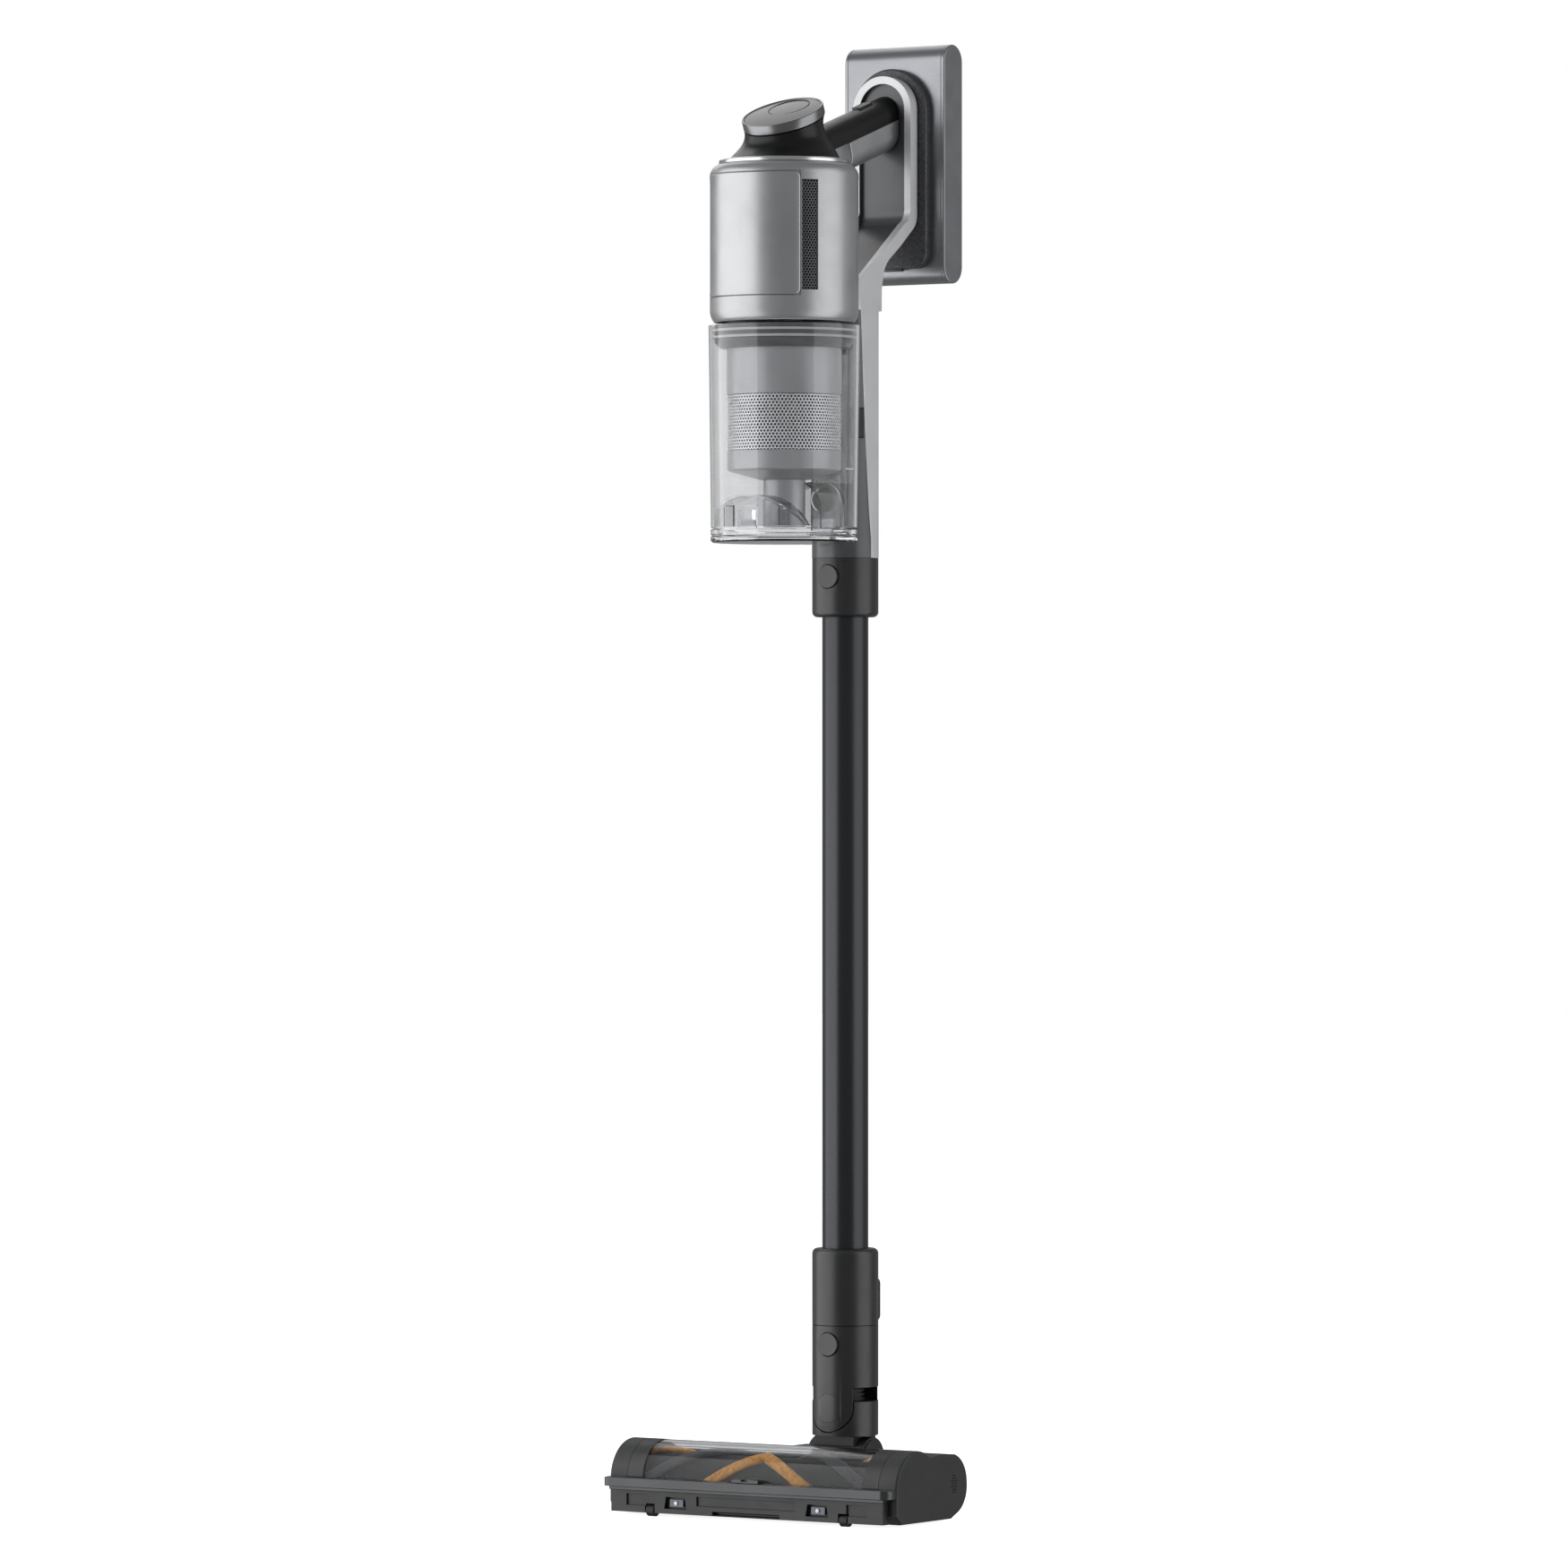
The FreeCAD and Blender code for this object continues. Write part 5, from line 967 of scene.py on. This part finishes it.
@dataclass
class BatteryPack(SubAssembly):
    """Battery that pulls off the back: case, end caps, boss and cells."""

    surfaces: ClassVar = {
        # Case and end caps take the paint darkened as painted shade.
        "battery_case": (SHADED_PACK_PAINT, Edge.SOFT),
        "battery_end_caps": (SHADED_PACK_PAINT, Edge.FINE),
        "battery_boss": (SPARK_ERODED, Edge.SOFT),
        "battery_cells": (SHRINK_WRAP, Edge.NONE),
        "battery_release_button": (BUTTON_NYLON, Edge.FINE),
    }


@dataclass
class DustBin(SubAssembly):
    """Clear bin with the cyclone in it, its flange, lid, latch and fill line."""

    surfaces: ClassVar = {
        "bin_cup": (CLEAR_PC, Edge.NONE),
        "bin_fittings": (CLEAR_PC, Edge.NONE),
        "bin_lid": (CLEAR_PC, Edge.NONE),
        "bin_latch": (CLEAR_PC, Edge.NONE),
        "cyclone_flange": (DARK_ABS, Edge.FINE),
        "flange_seals": (SILICONE, Edge.NONE),
        "cyclone_body": (SILVER_PAINT, Edge.FINE),
        "cyclone_base": (SILVER_PAINT, Edge.FINE),
        "cyclone_cones": (DARK_ABS, Edge.NONE),
        "lid_hinge_pin": (STEEL, Edge.NONE),
    }
    cup: Extent = box_of("bin_cup")
    screen: Extent = box_of("cyclone_mesh")
    hole_pitch: float = 2.7
    hole_web: float = 1.1
    sheet: float = 0.3
    shade_lining_gap: float = 2.0
    shade_lining_wall: float = 0.8
    fill_height: float = 0.285
    fill_length: float = 12.0
    fill_width: float = 0.8
    fill_angle: float = 93.0
    ink: float = 0.03
    bend_step: float = 1.5

    def make(self) -> None:
        """Perforate the cyclone's screen and print the fill line."""
        self.perforated_screen()
        self.fill_line()

    def perforated_screen(self) -> None:
        """Make the etched sleeve and, inside it, a dark lining of painted shade."""
        axis_y = self.screen.centre.y
        radius = self.screen.size.x / 2
        around, height = math.tau * radius, self.screen.size.z
        pitch = around / round(around / self.hole_pitch)
        sleeve = hexagon_sheet(Work("screen_sleeve"), around, height, pitch, self.hole_web)
        sleeve.trim(around, height).thicken(self.sheet)
        sleeve.move(Matrix.Translation((0, 0, self.screen.centre.z)))
        sleeve.wrap(axis_y, radius - self.sheet)
        sleeve.done(Body.BIN, ETCHED_STEEL, "cyclone_mesh", "cyclone_mesh")
        # Painted shade: a dark lining inside the sleeve, so that its holes read dark.
        shade_lining = Work("screen_painted_shade_lining")
        low, high = self.screen.low.z, self.screen.high.z
        outside = radius - self.shade_lining_gap
        inside = outside - self.shade_lining_wall
        shade_lining.outline([(outside, low), (outside, high), (inside, high), (inside, low)],
                      Matrix.Translation((0, axis_y, 0)), close=True)
        shade_lining.spin(Vector((0, axis_y, 0)), (0, 0, 1), 96)
        shade_lining.done(Body.BIN, DARK_LINE_AND_SHADE_SHEET, "cyclone_mesh", "cyclone_mesh")

    def fill_line(self) -> None:
        """Print a plain line on the right side of the cup."""
        radius = self.cup.size.x / 2 + self.ink
        height = self.cup.low.z + self.fill_height * self.cup.size.z
        mark = Work("fill_line").panel(self.fill_length, self.fill_width)
        mark.move(Matrix.Translation((math.radians(self.fill_angle) * radius, 0, height)))
        mark.slice(0, self.bend_step).wrap(self.cup.centre.y, radius)
        mark.done(Body.BIN, PRINT, "clear_bin")


@dataclass
class Wand(SubAssembly):
    """Black tube between its two collars, and the head's socket under it."""

    surfaces: ClassVar = {
        "wand_tube": (DRAWN_TUBE, Edge.NONE),
        "wand_top_collar": (FINE_NYLON, Edge.SOFT),
        "wand_lower_collar": (FINE_NYLON, Edge.SOFT),
        "wand_contact_cover": (FINE_NYLON, Edge.FINE),
        "wand_button": (BUTTON_NYLON, Edge.SOFT),
        "head_socket": (FINE_NYLON, Edge.SOFT),
        "head_button": (BUTTON_NYLON, Edge.SOFT),
        "neck": (FINE_NYLON, Edge.SOFT),
        "neck_hose": (RUBBER, Edge.NONE),
        "steering_pins": (BUTTON_NYLON, Edge.FINE),
    }


@dataclass
class FloorHead(SubAssembly):
    """Floor head: chassis, clear cover over the striped roller, lip, bumper, lights and wheels."""

    surfaces: ClassVar = {
        "tail_bracket": (HEAD_ABS, Edge.SOFT),
        "head_chassis": (HEAD_ABS, Edge.SOFT),
        "end_caps": (CAP_ABS, Edge.SOFT),
        "front_bumper": (HEAD_ABS, Edge.FINE),
        "front_lip": (LIP_PAINT, Edge.SOFT),
        "lip_latch": (LIP_PAINT, Edge.FINE),
        "cover_frames": (HEAD_ABS, Edge.SOFT),
        "clear_cover": (SMOKED_PC, Edge.NONE),
        "headlight_lenses": (WINDOW_PC, Edge.FINE),
        "roller_core": (CORE_PILE, Edge.NONE),
        "roller_bearings": (STEEL, Edge.NONE),
        "brush_motor": (STEEL, Edge.NONE),
        "motor_pulley": (MACHINED, Edge.NONE),
        "drive_belt": (RUBBER, Edge.NONE),
        "front_wheels": (RUBBER, Edge.SOFT),
        "rear_wheels": (RUBBER, Edge.SOFT),
    }
    roller: Extent = box_of("gold_strips")
    core: Extent = box_of("roller_core")
    lens: Extent = box_of("headlight_lenses")
    strip_width: float = 10.0
    strip_sunk: float = 0.1
    strip_shoulder: float = 1.6
    strip_crown: float = 0.4
    sweep: float = 165.0
    gold_starts: tuple[float, float] = (112.0, 292.0)
    grey_starts: tuple[float, float] = (22.0, 202.0)
    led_x: float = 63.0
    led_radius: float = 1.6
    led_sunk: float = 0.2
    led_flatness: float = 0.35

    def make(self) -> None:
        """Wind the strips and set the light-emitting domes."""
        self.strips("gold_pile_strips", self.gold_starts, GOLD_PILE, "gold_pile", "gold_strips")
        self.strips("grey_pile_strips", self.grey_starts, GREY_PILE, "grey_pile", "grey_strips")
        self.leds()

    def strips(self, name: str, starts: tuple[float, float], finish: Finish, slot: str, node: str) -> None:
        """Wind two strips in a V round the roller.

        Args:
            name: Name of the piece.
            starts: Where the strips' points stand at the middle, in degrees.
            finish: Pile of the strips.
            slot: The record's material slot.
            node: Frame node that the strips stand for.
        """
        centre = Vector((0, self.roller.centre.y, self.roller.centre.z))
        foot, top = self.core.size.z / 2 - self.strip_sunk, self.roller.size.z / 2
        shoulder, crown = top - self.strip_shoulder, top - self.strip_crown
        half = self.strip_width / 2
        section = [(-half, foot), (-half, shoulder), ((-0.8 * half, crown), (0, top)),
                   ((0.8 * half, crown), (half, shoulder)), (half, foot)]
        work = Work(name)
        for start in starts:
            part = Work(name)
            place = (Matrix.Translation(centre) @ Matrix.Rotation(math.radians(start - 90), 4, "X")
                     @ Matrix.Rotation(math.radians(90), 4, "Z"))
            part.outline(section, place, close=True, steps=4)
            part.spin(centre, (1, 0, 0), 120, self.sweep, Vector((self.roller.high.x, 0, 0)))
            part.cap().pour_into(work)
        work.mirrored().done(Body.ROLLER, finish, slot, node)

    def leds(self) -> None:
        """Set a small bright dome in the middle of each light window."""
        work = Work("led_domes")
        spot = Vector((self.led_x, self.lens.low.y - self.led_sunk, self.lens.centre.z))
        squash = Matrix.Diagonal((1.0, self.led_flatness, 1.0, 1.0))
        bmesh.ops.create_uvsphere(work.bm, u_segments=24, v_segments=12, radius=self.led_radius,
                                  matrix=Matrix.Translation(spot) @ squash)
        work.mirrored().done(Body.HEAD, LED_PHOSPHOR, "lens")


@dataclass(frozen=True)
class SoftBox:
    """Rectangular light, in metres and watts; its angle is counted from the camera's side, in degrees."""

    name: str
    angle: float
    width: float
    height: float
    watts: float


@dataclass
class Studio:
    """Camera, soft boxes, pale floor and white surround."""

    side_boxes: tuple[SoftBox, ...] = (SoftBox("soft_box_left", -80.0, 2.4, 3.0, 46.0),
                                       SoftBox("soft_box_right", 70.0, 1.5, 3.0, 20.0))
    side_distance: float = 1.5
    top_box: SoftBox = SoftBox("soft_box_top", 0.0, 1.4, 1.4, 7.0)
    top_way: tuple[float, float, float] = (-0.54, 0.56, 0.62)
    top_distance: float = 1.6
    top_aim: float = 0.45
    floor_half: float = 12.0
    floor_shine: float = 0.9
    room_shine: float = 0.28
    camera_place: tuple[float, float, float] = (3.5649, -5.5516, 0.5496)
    camera_turn: float = 33.0
    lens_mm: float = 200.4
    sensor_mm: float = 36.0

    def build(self) -> None:
        """Set everything up round the object's box."""
        self.camera()
        middle = (cad_box[0] + cad_box[1]) / 2
        side = math.radians(self.camera_turn)
        towards = Vector((math.sin(side), -math.cos(side), 0))
        right = Vector((math.cos(side), math.sin(side), 0))
        for box in self.side_boxes:
            angle = math.radians(box.angle)
            way = math.cos(angle) * towards + math.sin(angle) * right
            self.hang(box, middle + self.side_distance * way, middle)
        top = middle + Vector((0, 0, self.top_aim))
        self.hang(self.top_box, top + self.top_distance * Vector(self.top_way), top)
        self.floor()
        self.surround()

    def camera(self) -> None:
        """Place the camera."""
        data = bpy.data.cameras.new("camera")
        data.lens, data.sensor_width = self.lens_mm, self.sensor_mm
        data.clip_end = 50
        made = bpy.data.objects.new("camera", data)
        made.location = self.camera_place
        made.rotation_euler = (math.radians(90), 0, math.radians(self.camera_turn))
        bpy.context.scene.collection.objects.link(made)
        bpy.context.scene.camera = made

    def hang(self, box: SoftBox, place: Vector, aim: Vector) -> None:
        """Hang a soft box that faces a point.

        Args:
            box: The soft box.
            place: Where it hangs.
            aim: Point that it faces.
        """
        data = bpy.data.lights.new(box.name, "AREA")
        data.shape, data.size, data.size_y, data.energy = "RECTANGLE", box.width, box.height, box.watts
        made = bpy.data.objects.new(box.name, data)
        made.location = place
        made.rotation_euler = (aim - place).to_track_quat("-Z", "Y").to_euler()
        made.visible_camera = False
        bpy.context.scene.collection.objects.link(made)

    def floor(self) -> None:
        """Lay the pale floor; it shines a little so that it reads as white."""
        work = bmesh.new()
        bmesh.ops.create_grid(work, x_segments=1, y_segments=1, size=self.floor_half)
        mesh = bpy.data.meshes.new("floor")
        work.to_mesh(mesh)
        work.free()
        made = bpy.data.materials.new("matt_white_paper")
        made.use_nodes = True
        shader = made.node_tree.nodes["Principled BSDF"]
        shader.inputs["Base Color"].default_value = linear("#e8e8e8")
        shader.inputs["Roughness"].default_value = 0.9
        shader.inputs["Specular IOR Level"].default_value = 0.0
        shader.inputs["Emission Color"].default_value = (1, 1, 1, 1)
        shader.inputs["Emission Strength"].default_value = self.floor_shine
        mesh.materials.append(made)
        piece = bpy.data.objects.new("floor", mesh)
        piece.visible_glossy = False
        piece.visible_diffuse = False
        bpy.context.scene.collection.objects.link(piece)

    def surround(self) -> None:
        """Make the room white to the eye and through clear parts, and grey in reflections."""
        world = bpy.data.worlds.new("surround")
        bpy.context.scene.world = world
        world.use_nodes = True
        tree = world.node_tree
        tree.nodes.clear()
        ray = add_node(tree, "LightPath")
        seen = add_node(tree, "Math", {0: ray.outputs["Is Camera Ray"],
                                       1: ray.outputs["Is Transmission Ray"]}, operation="MAXIMUM")
        first = add_node(tree, "Math", {0: ray.outputs["Diffuse Depth"], 1: 0.5}, operation="LESS_THAN")
        white = add_node(tree, "Math", {0: seen.outputs[0], 1: first.outputs[0]}, operation="MULTIPLY")
        level = add_node(tree, "MapRange", {"Value": white.outputs[0], "To Min": self.room_shine,
                                            "To Max": 1.0})
        shine = add_node(tree, "Background", {"Color": (1, 1, 1, 1), "Strength": level.outputs[0]})
        add_node(tree, "OutputWorld", {"Surface": shine.outputs[0]})
        bpy.context.scene.view_settings.view_transform = "Standard"


def main() -> None:
    """Build the vacuum and its studio."""
    logging.basicConfig(level=logging.INFO, format="%(name)s: %(message)s")
    for part in (MotorUnit(), Display(), Handle(), BatteryPack(), DustBin(), Wand(), FloorHead(), Studio()):
        part.build()


if __name__ == "__main__":
    main()
